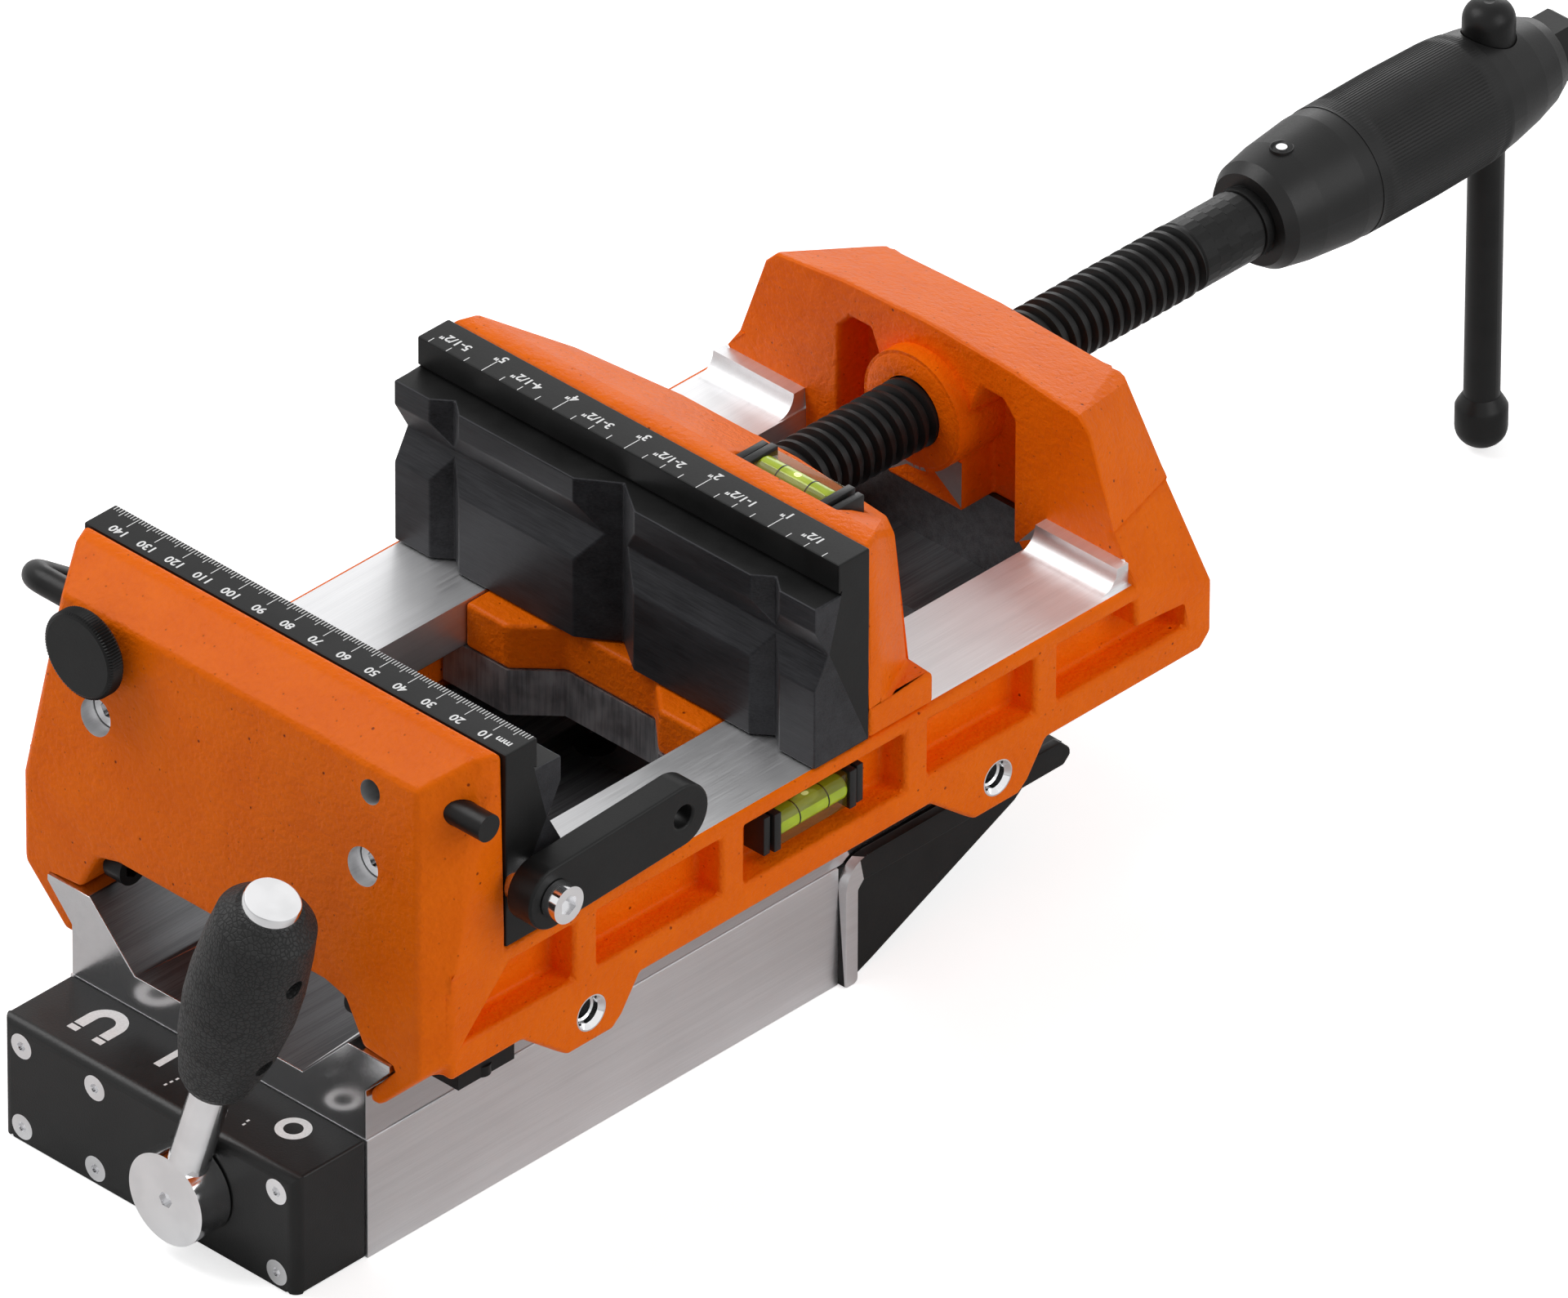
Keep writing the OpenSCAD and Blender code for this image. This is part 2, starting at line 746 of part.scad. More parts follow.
module jaw_plate() {
    difference() {
        union() {
            box(-jaw_half_w, jaw_half_w, 0, plate_t, plate_z0, jaw_top_z);
            box(-jaw_half_w, jaw_half_w, plate_t - eps, pad_front, plate_z0, pad_top_z);
        }
        box(-jaw_half_w - 1, jaw_half_w + 1, plate_t - 1, plate_t + 1, pad_top_z, pad_top_z + 0.9);
        along_x(-jaw_half_w - 1, jaw_half_w + 1)
            translate([pad_front, groove_mid_z])
                polygon([[1, groove_half_h + 1], [0, groove_half_h], [-groove_d, 0],
                         [0, -groove_half_h], [1, -groove_half_h - 1]]);
        upright_groove(0, 10.7, 7.3);
        for (s = [-1, 1])
            upright_groove(s * outer_groove_x, 5.2, 4);
        both_sides()
            rod_y(-1, plate_screw_in, plate_shank_r, fixed_screw_x, fixed_screw_z);
    }
}

module fixed_jaw_plate() {
    color(black_oxide)
        translate([0, fixed_y, 0])
            difference() {
                jaw_plate();
                rod_x(jaw_half_w - arm_screw_in, jaw_half_w + 1, arm_screw_r, arm_screw_y, arm_pivot_z);
            }
}

module fixed_plate_screws() {
    shank_l = fixed_y + plate_screw_in - fixed_head_y - plate_head_h;
    color(bright_steel)
        both_sides()
            translate([fixed_screw_x, fixed_head_y, fixed_screw_z])
                rotate([90, 0, 0])
                    socket_screw(plate_head_r, plate_head_h, plate_shank_r, shank_l, 5);
}

module spindle_nut() {
    color("peru")
        difference() {
            rod_y(boss_y, body_rear_y, nut_r, 0, spindle_z);
            rod_y(boss_y - 1, body_rear_y + 1, spindle_r + spindle_gap, 0, spindle_z);
            nut_screw_shape();
        }
}

module nut_screw_shape() {
    translate([0, nut_screw_y, bracket_under_z])
        cylinder(h = spindle_z - nut_r + nut_screw_in - bracket_under_z, r = nut_screw_r);
}

module nut_screw() {
    color(black_oxide)
        difference() {
            nut_screw_shape();
            translate([0, nut_screw_y, bracket_under_z - 1])
                cylinder(h = 4, r = 1.4, $fn = 6);
        }
}

// Spirit levels, drawn along X with their back at z = 0

level_h = 8;
level_end = 3;
level_fit = 0.1;
side_level_y = 54;
side_level_z = pocket_z0 + 8.4;
top_level_x = 36;
top_level_y = moving_y + 25;
top_level_z = jaw_top_z - 10;

module level_frame() {
    difference() {
        box(-vial_l / 2, vial_l / 2, -vial_w / 2, vial_w / 2, 0, level_h);
        rod_x(-vial_l / 2 + level_end, vial_l / 2 - level_end, vial_r - 0.3 + level_fit, 0, level_h / 2);
        box(-vial_l / 2 + level_end + 4, vial_l / 2 - level_end - 4, -vial_r * 0.85, vial_r * 0.85,
            level_h / 2, level_h + 1);
    }
}

module level_vial() {
    rod_x(-vial_l / 2 + level_end + level_fit, vial_l / 2 - level_end - level_fit, vial_r - 0.3,
          0, level_h / 2);
}

module at_side_level() {
    translate([pocket_x, side_level_y, side_level_z])
        rotate([90, 0, 90])
            children();
}

module at_top_level() {
    translate([top_level_x, top_level_y, top_level_z])
        children();
}

module side_level_frame() {
    color("goldenrod")
        at_side_level()
            level_frame();
}

module side_level_vial() {
    color("greenyellow")
        at_side_level()
            level_vial();
}

module top_level_frame() {
    color("goldenrod")
        at_top_level()
            level_frame();
}

module top_level_vial() {
    color("greenyellow")
        at_top_level()
            level_vial();
}

// Moving jaw

jaw_back_y = moving_y + plate_t;
jaw_foot_z = way_z + way_gap;
keel_half_w = way_gap_half_w - way_gap;
keel_z0 = way_z - way_t - way_gap;
keel_rear_y = jaw_back_y + 37.7;
jaw_boss_r = 18;
journal_y = jaw_back_y + 12;
retainer_t = 6;
retainer_r = 15;
retainer_y = keel_rear_y - retainer_t - 1;
retainer_screw_r = 1.4;
retainer_head_r = 2.5;
retainer_screw_l = 13;
groove_r = 7.6;
jaw_head_y = jaw_back_y + 12.5;
keel_screw_r = 3;
keel_head_r = 5;
keel_head_h = 5;
keel_block_z0 = wing_z + 1.4;
keel_screw_l = 19;
keel_screw_x = 28;
keel_screw_rows = [moving_y + 9, keel_rear_y - 10];
hook_half_w = side_inner_x - 1;
casting_l = 31.6;
retainer_screw_out = 12.2;

module keel_outline(half_w) {
    polygon(mirrored([[half_w, keel_rear_y], [half_w, moving_y - 16], [27, moving_y - 16],
                      [16, moving_y - 6]]));
}

module at_keel_screws() {
    for (s = [-1, 1], y = keel_screw_rows)
        translate([s * keel_screw_x, y, keel_block_z0])
            rotate([180, 0, 0])
                children();
}

module at_retainer_screws() {
    for (a = [45 : 90 : 315])
        translate([retainer_screw_out * cos(a), retainer_y + retainer_t,
                   spindle_z + retainer_screw_out * sin(a)])
            rotate([-90, 0, 0])
                children();
}

module moving_jaw_casting() {
    back = jaw_back_y;
    block_of([for (s = [-1, 1], p = [
        [body_half_w, back, jaw_foot_z], [body_half_w, back + 5, jaw_foot_z],
        [body_half_w - 9, back + 24.6, jaw_foot_z], [body_half_w - 17, back + 28.6, jaw_foot_z],
        [20, back + casting_l, jaw_foot_z],
        [body_half_w - 1, back, jaw_top_z], [body_half_w - 3, back + 5.6, jaw_top_z],
        [body_half_w - 13, back + 22, jaw_top_z - 11], [body_half_w - 20, back + 27, jaw_top_z - 12.5],
        [20, back + casting_l - 1, jaw_top_z - 12.5]]) [s * p[0], p[1], p[2]]]);
    both_sides()
        box(way_gap_half_w, body_half_w, back, back + 23.6, jaw_foot_z, jaw_foot_z + 9.3);
    rod_y(back + 15, keel_rear_y, jaw_boss_r, 0, spindle_z);
    box(-jaw_boss_r, jaw_boss_r, back + 15, keel_rear_y, way_z - 1, spindle_z);
    box(-keel_half_w, keel_half_w, back, back + 27, way_z - 1, jaw_foot_z + 3);
    translate([0, 0, keel_z0])
        linear_extrude(way_z - keel_z0)
            keel_outline(keel_half_w);
}

module moving_jaw() {
    color(orange)
        difference() {
            moving_jaw_casting();
            rod_y(journal_y, keel_rear_y + 1, spindle_r + spindle_gap, 0, spindle_z);
            rod_y(retainer_y, keel_rear_y + 1, retainer_r, 0, spindle_z);
            at_retainer_screws()
                translate([0, 0, -retainer_screw_l])
                    cylinder(h = retainer_screw_l, r = retainer_screw_r);
            both_sides() {
                rod_y(jaw_back_y - 1, keel_rear_y, plate_shank_r, fixed_screw_x, fixed_screw_z);
                rod_y(jaw_head_y - plate_head_h, keel_rear_y, plate_head_r + gap,
                      fixed_screw_x, fixed_screw_z);
            }
            at_keel_screws()
                translate([0, 0, -keel_head_h - keel_screw_l])
                    cylinder(h = keel_screw_l, r = keel_screw_r);
            translate([top_level_x, top_level_y, top_level_z])
                box(-vial_l / 2 - gap, vial_l / 2 + gap, -vial_w / 2 - gap, vial_w / 2 + gap,
                    0, 2 * level_h);
        }
}

module moving_jaw_plate() {
    color(black_oxide)
        translate([0, jaw_back_y, 0])
            mirror([0, 1, 0])
                jaw_plate();
}

module moving_plate_screws() {
    shank_l = jaw_head_y - plate_head_h - jaw_back_y + plate_screw_in;
    color(bright_steel)
        both_sides()
            translate([fixed_screw_x, jaw_head_y, fixed_screw_z])
                rotate([-90, 0, 0])
                    socket_screw(plate_head_r, plate_head_h, plate_shank_r, shank_l, 5);
}

// The block under the keel, which hooks under both ways.
module keel_block() {
    color("dimgray")
        difference() {
            translate([0, 0, keel_block_z0])
                linear_extrude(keel_z0 - keel_block_z0)
                    keel_outline(hook_half_w);
            at_keel_screws() {
                translate([0, 0, -keel_head_h])
                    cylinder(h = keel_head_h + 1, r = keel_head_r);
                translate([0, 0, -keel_head_h - keel_screw_l])
                    cylinder(h = keel_screw_l + 1, r = keel_screw_r);
            }
        }
}

module keel_screws() {
    color(black_oxide)
        at_keel_screws()
            socket_screw(keel_head_r, keel_head_h, keel_screw_r, keel_screw_l, 5);
}

// A split ring that keeps the spindle's groove in the jaw.
module spindle_retainer() {
    color(bright_steel)
        difference() {
            rod_y(retainer_y, retainer_y + retainer_t, retainer_r, 0, spindle_z);
            rod_y(retainer_y - 1, keel_rear_y, groove_r + gap, 0, spindle_z);
            box(-retainer_r - 1, retainer_r + 1, retainer_y - 1, keel_rear_y,
                spindle_z - gap, spindle_z + gap);
            at_retainer_screws()
                flat_screw_hole(retainer_head_r, retainer_screw_r, retainer_screw_l);
        }
}

module retainer_screws() {
    color(black_oxide)
        at_retainer_screws()
            flat_screw(retainer_head_r, retainer_screw_r, retainer_screw_l, 1.5);
}

// Spindle and handle

bar_y = sleeve_y + bar_from_sleeve;
collar_r = spindle_r - 0.2;
spindle_end_y = sleeve_y + sleeve_l - 2;
hex_l = 12;
thread_y = keel_rear_y + 6;
pin_y = sleeve_y + 12;
pin_r = 1.5;
bar_seat = 18.8;
knob_z0 = spindle_z - bar_drop + bar_knob_r;
knob_z1 = spindle_z + bar_seat;
bar_gap = 0.2;
sleeve_steps = [[0, 5.5], [0.03, 3.3], [0.11, 1.7], [0.24, 0.3], [0.52, 0], [0.71, 0.4],
                [0.8, 1.7], [0.89, 3.5], [0.96, 5.5], [1, 7.5]];

// A turned shape about the spindle axis, from points of radius and Y.
module turned(points) {
    translate([0, 0, spindle_z])
        rotate([-90, 0, 0])
            rotate_extrude()
                polygon(points);
}

function thread_points(y0, y1) = [
    for (i = [0 : floor((y1 - y0) / thread_pitch) - 1],
         p = [[0, 0], [thread_d, 0.28], [thread_d, 0.5], [0, 0.78]])
        [spindle_r - p[0], y0 + (i + p[1]) * thread_pitch]];

module sleeve_pin_shape() {
    translate([0, pin_y, spindle_z - 6])
        cylinder(h = sleeve_r + 4.5, r = pin_r);
}

module spindle() {
    color(black_oxide)
        difference() {
            union() {
                turned(concat([[0, journal_y + gap], [spindle_r - 1, journal_y + gap],
                               [spindle_r, journal_y + gap + 1], [spindle_r, retainer_y - gap],
                               [groove_r, retainer_y - gap], [groove_r, retainer_y + retainer_t + gap],
                               [spindle_r, retainer_y + retainer_t + gap]],
                              thread_points(thread_y, thread_end_y),
                              [[spindle_r, thread_end_y], [collar_r, thread_end_y + 1],
                               [collar_r, spindle_end_y], [0, spindle_end_y]]));
                translate([0, spindle_end_y + hex_l, spindle_z])
                    rotate([90, 0, 0])
                        cylinder(h = hex_l + 1, r = hex_af / sqrt(3), $fn = 6);
            }
            translate([0, bar_y, spindle_z - spindle_r - 1])
                cylinder(h = 2 * spindle_r + 2, r = bar_r + bar_gap);
            sleeve_pin_shape();
        }
}

module handle_sleeve() {
    color(black_plastic)
        difference() {
            turned(concat([[collar_r, sleeve_y]],
                          [for (s = sleeve_steps) [sleeve_r - s[1], sleeve_y + s[0] * sleeve_l]],
                          [[collar_r, sleeve_y + sleeve_l]]));
            translate([0, bar_y, spindle_z - sleeve_r - 1])
                cylinder(h = 2 * sleeve_r + 2, r = bar_r + bar_gap);
            for (s = [-1, 1])
                translate([0, bar_y, spindle_z + s * (bar_seat - bar_knob_r + sleeve_r / 2 - gap)])
                    cylinder(h = sleeve_r, r = bar_knob_r + gap, center = true);
            sleeve_pin_shape();
            translate([0, spindle_end_y + hex_l, spindle_z])
                rotate([90, 0, 0])
                    cylinder(h = hex_l, r = hex_af / sqrt(3), $fn = 6);
        }
}

module sleeve_pin() {
    color(bright_steel)
        sleeve_pin_shape();
}

module tommy_bar() {
    color(black_oxide)
        translate([0, bar_y, knob_z0])
            cylinder(h = knob_z1 - knob_z0, r = bar_r);
}

module bar_knobs() {
    color(black_oxide)
        difference() {
            for (z = [knob_z0, knob_z1])
                translate([0, bar_y, z])
                    sphere(r = bar_knob_r);
            translate([0, bar_y, knob_z0])
                cylinder(h = knob_z1 - knob_z0, r = bar_r);
        }
}

// Lever

lever_back_y = cap_front_y - lever_gap;
lever_y = lever_back_y - rod_r;
hub_front_y = lever_y - rod_r + 0.8;
hub_head_r = 4.2;
hub_head_h = 4;
hub_screw_r = 2;
hub_screw_l = 15;
grip_fit = 0.1;
grip_screw_r = 1.5;
grip_head_r = 2.8;
grip_head_h = 2.5;
grip_head_x = 9.5;
grip_screw_l = 15;
grip_screw_rows = [grip_start + 17, lever_l - 17];
grip_steps = [[0, 6.5], [0.04, 5], [0.25, 1.8], [0.45, 0.2], [0.6, 0], [0.8, 0.8], [0.93, 1.8], [1, 6]];

module at_lever() {
    translate([lever_x, lever_y, lever_z])
        rotate([0, lever_tilt, 0])
            children();
}

module at_hub_screw() {
    translate([lever_x, hub_front_y, lever_z])
        rotate([90, 0, 0])
            children();
}

module at_grip_screws() {
    for (z = grip_screw_rows)
        translate([grip_head_x, 0, z])
            rotate([0, 90, 0])
                children();
}

module turning_magnet() {
    color("dimgray")
        difference() {
            union() {
                rod_y(mag_front_y + rotor_gap, cell_rear_y - rotor_gap, rotor_r, lever_x, lever_z);
                rod_y(lever_back_y, mag_front_y + rotor_gap + 1, lever_shaft_r, lever_x, lever_z);
            }
            at_hub_screw()
                translate([0, 0, -hub_head_h - hub_screw_l])
                    cylinder(h = hub_screw_l, r = hub_screw_r);
        }
}

module lever_hub() {
    color(bright_steel)
        difference() {
            rod_y(hub_front_y, lever_back_y, hub_r, lever_x, lever_z);
            at_hub_screw() {
                translate([0, 0, -hub_head_h])
                    cylinder(h = hub_head_h + 1, r = hub_head_r);
                translate([0, 0, -hub_head_h - hub_screw_l])
                    cylinder(h = hub_screw_l + 1, r = hub_screw_r);
            }
        }
}

module hub_screw() {
    color(bright_steel)
        at_hub_screw()
            socket_screw(hub_head_r, hub_head_h, hub_screw_r, hub_screw_l, 4);
}

module lever_rod() {
    color(bright_steel)
        at_lever()
            difference() {
                cylinder(h = lever_l + 2, r = rod_r);
                rod_y(-2 * rod_r, 2 * rod_r, hub_r);
                at_grip_screws()
                    translate([0, 0, -grip_head_h - grip_screw_l])
                        cylinder(h = grip_screw_l + 1, r = grip_screw_r);
            }
}

module grip_half(side) {
    at_lever()
        difference() {
            translate([0, 0, grip_start])
                rotate_extrude()
                    polygon(concat([[rod_r + grip_fit, 0]],
                                   [for (s = grip_steps) [grip_r - s[1], s[0] * (lever_l - grip_start)]],
                                   [[rod_r + grip_fit, lever_l - grip_start]]));
            box(side > 0 ? -2 * grip_r : 0, side > 0 ? 0 : 2 * grip_r, -2 * grip_r, 2 * grip_r,
                grip_start - 1, lever_l + 1);
            at_grip_screws() {
                translate([0, 0, -grip_head_h])
                    cylinder(h = grip_head_h + 10, r = grip_head_r);
                translate([0, 0, -grip_head_h - grip_screw_l])
                    cylinder(h = grip_screw_l + 1, r = grip_screw_r);
            }
        }
}

module grip_left() {
    color(black_plastic)
        grip_half(-1);
}

module grip_right() {
    color(black_plastic)
        grip_half(1);
}

module grip_screws() {
    color(bright_steel)
        at_lever()
            at_grip_screws()
                socket_screw(grip_head_r, grip_head_h, grip_screw_r, grip_screw_l, 2.5);
}

// Stops

arm_collar = 3;
arm_x = jaw_half_w + arm_collar + gap;
arm_hole_r = 3.2;
arm_shoulder_r = 4;
arm_head_r = 5.2;
arm_head_h = 4.5;
arm_lean = 2.5;
stop_end_x = body_half_w + 5;
stop_leg_x = body_half_w + 10;
stop_bend_r = 8;
stop_leg_down = 36;
knob_t = 5;
knob_back_y = body_front_y + 2;
knob_neck_r = 5.5;

module at_arm() {
    translate([0, fixed_y + arm_screw_y, arm_pivot_z])
        rotate([arm_lean, 0, 0])
            children();
}

module stop_arm() {
    color(black_oxide)
        at_arm()
            difference() {
                union() {
                    rod_x(arm_x, arm_x + arm_t, arm_half_w);
                    rod_x(arm_x, arm_x + arm_t, arm_half_w, arm_l);
                    box(arm_x, arm_x + arm_t, 0, arm_l, -arm_half_w, arm_half_w);
                }
                rod_x(arm_x - 1, arm_x + arm_t + 1, arm_shoulder_r + gap / 2);
                rod_x(arm_x - 1, arm_x + arm_t + 1, arm_hole_r, arm_l);
            }
}

module arm_screw() {
    head_x = arm_x + arm_t + gap;
    color(bright_steel)
        translate([0, fixed_y + arm_screw_y, arm_pivot_z])
            difference() {
                union() {
                    rod_x(jaw_half_w - arm_screw_in, jaw_half_w + 1, arm_screw_r);
                    rod_x(jaw_half_w, jaw_half_w + arm_collar, arm_head_r + 1);
                    rod_x(jaw_half_w + 1, head_x + 1, arm_shoulder_r);
                    rod_x(head_x, head_x + arm_head_h, arm_head_r);
                }
                translate([head_x + 2, 0, 0])
                    rotate([0, 90, 0])
                        cylinder(h = arm_head_h, r = 2.9, $fn = 6);
            }
}

module stop_rod() {
    color(black_oxide) {
        rod_x(stop_bend_r - stop_leg_x - eps, stop_end_x, stop_r, stop_y, stop_z);
        translate([stop_bend_r - stop_leg_x, stop_y, stop_z])
            rotate([-stop_leg_down, 0, 0]) {
                translate([0, stop_bend_r, 0])
                    rotate([0, 0, 180])
                        rotate_extrude(angle = 90)
                            translate([stop_bend_r, 0])
                                circle(stop_r - 2 * eps);
                rod_y(stop_bend_r - eps, stop_leg_l, stop_r, -stop_bend_r);
            }
    }
}

module clamp_knob() {
    color(black_oxide) {
        rod_y(knob_back_y - knob_t, knob_back_y, knob_r, -knob_x, stop_z);
        rod_y(knob_back_y - eps, knob_back_y + 2.8, knob_neck_r, -knob_x, stop_z);
        rod_y(knob_back_y, stop_y - stop_r - gap, knob_thread_r - gap / 2, -knob_x, stop_z);
    }
}

magnet_housing();
fixed_magnet();
end_cap();
cap_screws();
guide_plate();
guide_screws();
tail_bracket();
tail_screws();
bed();
clamp_shoes();
lock_screws();
side_bushes();
fixed_jaw_plate();
fixed_plate_screws();
spindle_nut();
nut_screw();
side_level_frame();
side_level_vial();
arm_screw();
moving_jaw();
moving_jaw_plate();
moving_plate_screws();
keel_block();
keel_screws();
spindle_retainer();
retainer_screws();
top_level_frame();
top_level_vial();
spindle();
handle_sleeve();
sleeve_pin();
tommy_bar();
bar_knobs();
turning_magnet();
lever_hub();
hub_screw();
lever_rod();
grip_left();
grip_right();
grip_screws();
stop_arm();
stop_rod();
clamp_knob();
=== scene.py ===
# Dresses the magnetic base machine vise in its finishes, and adds the camera, the lights and the floor.
import json
import math

import bmesh
import bpy
from mathutils import Matrix, Vector
from mathutils.bvhtree import BVHTree


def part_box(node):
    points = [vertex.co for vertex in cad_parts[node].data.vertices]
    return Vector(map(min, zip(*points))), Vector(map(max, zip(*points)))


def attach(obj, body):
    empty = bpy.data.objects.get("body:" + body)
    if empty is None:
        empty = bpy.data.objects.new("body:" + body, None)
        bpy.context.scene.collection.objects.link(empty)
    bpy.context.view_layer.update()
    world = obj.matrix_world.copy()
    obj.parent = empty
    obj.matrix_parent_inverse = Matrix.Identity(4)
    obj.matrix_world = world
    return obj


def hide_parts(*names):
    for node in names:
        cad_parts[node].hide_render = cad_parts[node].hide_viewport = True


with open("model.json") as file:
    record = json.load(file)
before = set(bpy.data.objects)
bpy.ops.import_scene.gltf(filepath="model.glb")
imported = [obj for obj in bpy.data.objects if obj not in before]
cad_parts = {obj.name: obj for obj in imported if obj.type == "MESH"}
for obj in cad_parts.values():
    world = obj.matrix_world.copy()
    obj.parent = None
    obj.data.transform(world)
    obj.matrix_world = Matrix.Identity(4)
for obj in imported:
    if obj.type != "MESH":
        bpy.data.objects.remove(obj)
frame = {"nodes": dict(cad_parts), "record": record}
NODES = frame["nodes"]
BODY_OF = {n: b for b, names in frame["record"]["behaviour"]["bodies"].items() for n in names}
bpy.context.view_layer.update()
MM = 0.001


# Places that the frame gives, in millimetres

def node_box(name):
    """The low and high corner of a node's box."""
    low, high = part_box(name)
    return low / MM, high / MM


def middle(name):
    low, high = node_box(name)
    return (low + high) / 2


SPINDLE_Z = middle("spindle").z
THREAD_PITCH = 4.0
THREAD_DEPTH = 1.6
THREAD_R = (node_box("spindle")[1].x - node_box("spindle")[0].x) / 2
JAW_TOP = node_box("fixed_jaw_plate")[1].z
JAW_HALF = node_box("fixed_jaw_plate")[1].x
FIXED_PLATE_BACK = node_box("fixed_jaw_plate")[0].y
MOVING_PLATE_BACK = node_box("moving_jaw_plate")[1].y
PLATE_THICK = 11.3
SLEEVE_LOW, SLEEVE_HIGH = node_box("handle_sleeve")
BAR_Y = middle("tommy_bar").y
LEVER_X, LEVER_Z = middle("lever_hub").x, middle("lever_hub").z
LEVER_Y = node_box("lever_hub")[1].y - 5.5
LEVER_TILT = math.radians(18)


# Camera, at the photograph's viewing angle

def add_camera():
    """Adds the camera and returns the directions to its right, up and back, without its roll."""
    azimuth, elevation, roll = math.radians(44.118), math.radians(34.046), math.radians(0.255)
    shift_x, shift_y, distance = 75.2, 93.951, 8153.733
    view_width_px, focal_px, sensor = 1920, 39181.569, 36
    target = Vector((0, 11, 0))
    right0 = Vector((math.cos(azimuth), math.sin(azimuth), 0))
    back = Vector((math.sin(azimuth) * math.cos(elevation), -math.cos(azimuth) * math.cos(elevation),
                   math.sin(elevation)))
    up0 = back.cross(right0)
    right = math.cos(roll) * right0 + math.sin(roll) * up0
    up = math.cos(roll) * up0 - math.sin(roll) * right0
    place = right * shift_x + up * shift_y + back * distance + target
    data = bpy.data.cameras.new("camera")
    data.lens = focal_px / view_width_px * sensor
    data.sensor_width = sensor
    data.sensor_fit = "HORIZONTAL"
    data.clip_end = 100
    camera = bpy.data.objects.new("camera", data)
    camera.matrix_world = Matrix.Translation(place * MM) @ Matrix((right, up, back)).transposed().to_4x4()
    bpy.context.scene.collection.objects.link(camera)
    bpy.context.scene.camera = camera
    return right0, up0, back


# Shader maths

class Socket:
    """One output of a node, with the arithmetic that the materials use."""

    def __init__(self, shader, link):
        self.shader, self.link = shader, link

    def _math(self, operation, other):
        return self.shader.node("ShaderNodeMath", {"operation": operation}, {0: self, 1: other})

    def __add__(self, other):
        return self._math("ADD", other)

    __radd__ = __add__

    def __mul__(self, other):
        return self._math("MULTIPLY", other)

    __rmul__ = __mul__

    def steps(self, low, high, start=0.0, end=1.0):
        """A smooth rise from start to end as this value goes from low to high."""
        return self.shader.node("ShaderNodeMapRange", {"interpolation_type": "SMOOTHSTEP"},
                                {"Value": self, "From Min": low, "From Max": high, "To Min": start,
                                 "To Max": end}, "Result")


class Shader:
    """A material with its Principled shader and one method that makes any other node."""

    def __init__(self, name, **settings):
        self.material = bpy.data.materials.new(name)
        self.material.use_nodes = True
        self.tree = self.material.node_tree
        self.principled = self.tree.nodes["Principled BSDF"]
        for socket, value in settings.items():
            self.principled.inputs[socket.replace("_", " ")].default_value = value
        self.place = self.node("ShaderNodeTexCoord", {}, {}, "Object")

    def node(self, kind, settings, values, output=0):
        """Adds a node, with its settings first and then the values or links of its sockets."""
        made = self.tree.nodes.new(kind)
        for key, value in settings.items():
            if key == "stops":
                self._set_stops(made.color_ramp, value)
            else:
                setattr(made, key, value)
        for key, value in values.items():
            if isinstance(value, Socket):
                self.tree.links.new(value.link, made.inputs[key])
            else:
                made.inputs[key].default_value = value
        return Socket(self, made.outputs[output])

    @staticmethod
    def _set_stops(ramp, stops):
        while len(ramp.elements) < len(stops):
            ramp.elements.new(0.5)
        for element, (position, colour) in zip(ramp.elements, stops):
            element.position = position
            element.color = (*colour, 1)

    def feed(self, socket, value):
        self.tree.links.new(value.link, self.principled.inputs[socket])

    def noise(self, size_mm, detail=2.0, roughness=0.5, stretch=(1, 1, 1)):
        """Noise whose features are about size_mm across, stretched along the axes."""
        squeezed = tuple(1 / factor for factor in stretch)
        vector = self.node("ShaderNodeMapping", {}, {"Vector": self.place, "Scale": squeezed})
        return self.node("ShaderNodeTexNoise", {}, {"Vector": vector, "Scale": 1 / (size_mm * MM),
                                                    "Detail": detail, "Roughness": roughness}, "Fac")

    def cells(self, size_mm, feature="F1"):
        """Distance within scattered cells that are about size_mm across."""
        return self.node("ShaderNodeTexVoronoi", {"feature": feature},
                         {"Vector": self.place, "Scale": 1 / (size_mm * MM)}, "Distance")

    def ramp(self, factor, *stops):
        return self.node("ShaderNodeValToRGB", {"stops": stops}, {"Fac": factor}, "Color")

    def mix(self, factor, first, second):
        return self.node("ShaderNodeMix", {"data_type": "RGBA"},
                         {"Factor": factor, 6: self.colour(first), 7: self.colour(second)}, 2)

    @staticmethod
    def colour(value):
        return value if isinstance(value, Socket) else (*value, 1)

    def bump(self, *layers):
        """Stacks height layers, each a pair of height and depth in millimetres, into the normal."""
        normal = None
        for height, depth_mm in layers:
            values = {"Height": height, "Distance": depth_mm * MM, "Strength": 1.0}
            if normal:
                values["Normal"] = normal
            normal = self.node("ShaderNodeBump", {}, values, "Normal")
        self.feed("Normal", normal)


# Materials

def orange_enamel():
    """Enamel over a cast surface: a fine grain, broad swells, and pits of two sizes, whose darkened insides
    are painted shade.
    """
    m = Shader("orange_enamel", Coat_Weight=0.06, Coat_Roughness=0.16, Specular_IOR_Level=0.06)
    grain = m.noise(1.8, 3.0, 0.6)
    swell = m.noise(14, 2.0)
    pits = m.cells(7.5).steps(0.03, 0.07)
    fine_pits = m.cells(3.4).steps(0.05, 0.11)
    base = m.ramp(swell * 0.6 + grain * 0.4, (0.30, (0.88, 0.142, 0.001)), (0.70, (0.98, 0.178, 0.002)))
    # The pits' dark colour is painted shade in their hollows; their dents come from the bump.
    m.feed("Base Color", m.mix(pits * (fine_pits * 0.4 + 0.6), (0.34, 0.045, 0.002), base))
    m.feed("Roughness", grain.steps(0.3, 0.7, 0.34, 0.44))
    m.bump((grain, 0.55), (swell, 0.35), (pits, 0.25), (fine_pits, 0.15))
    return m.material


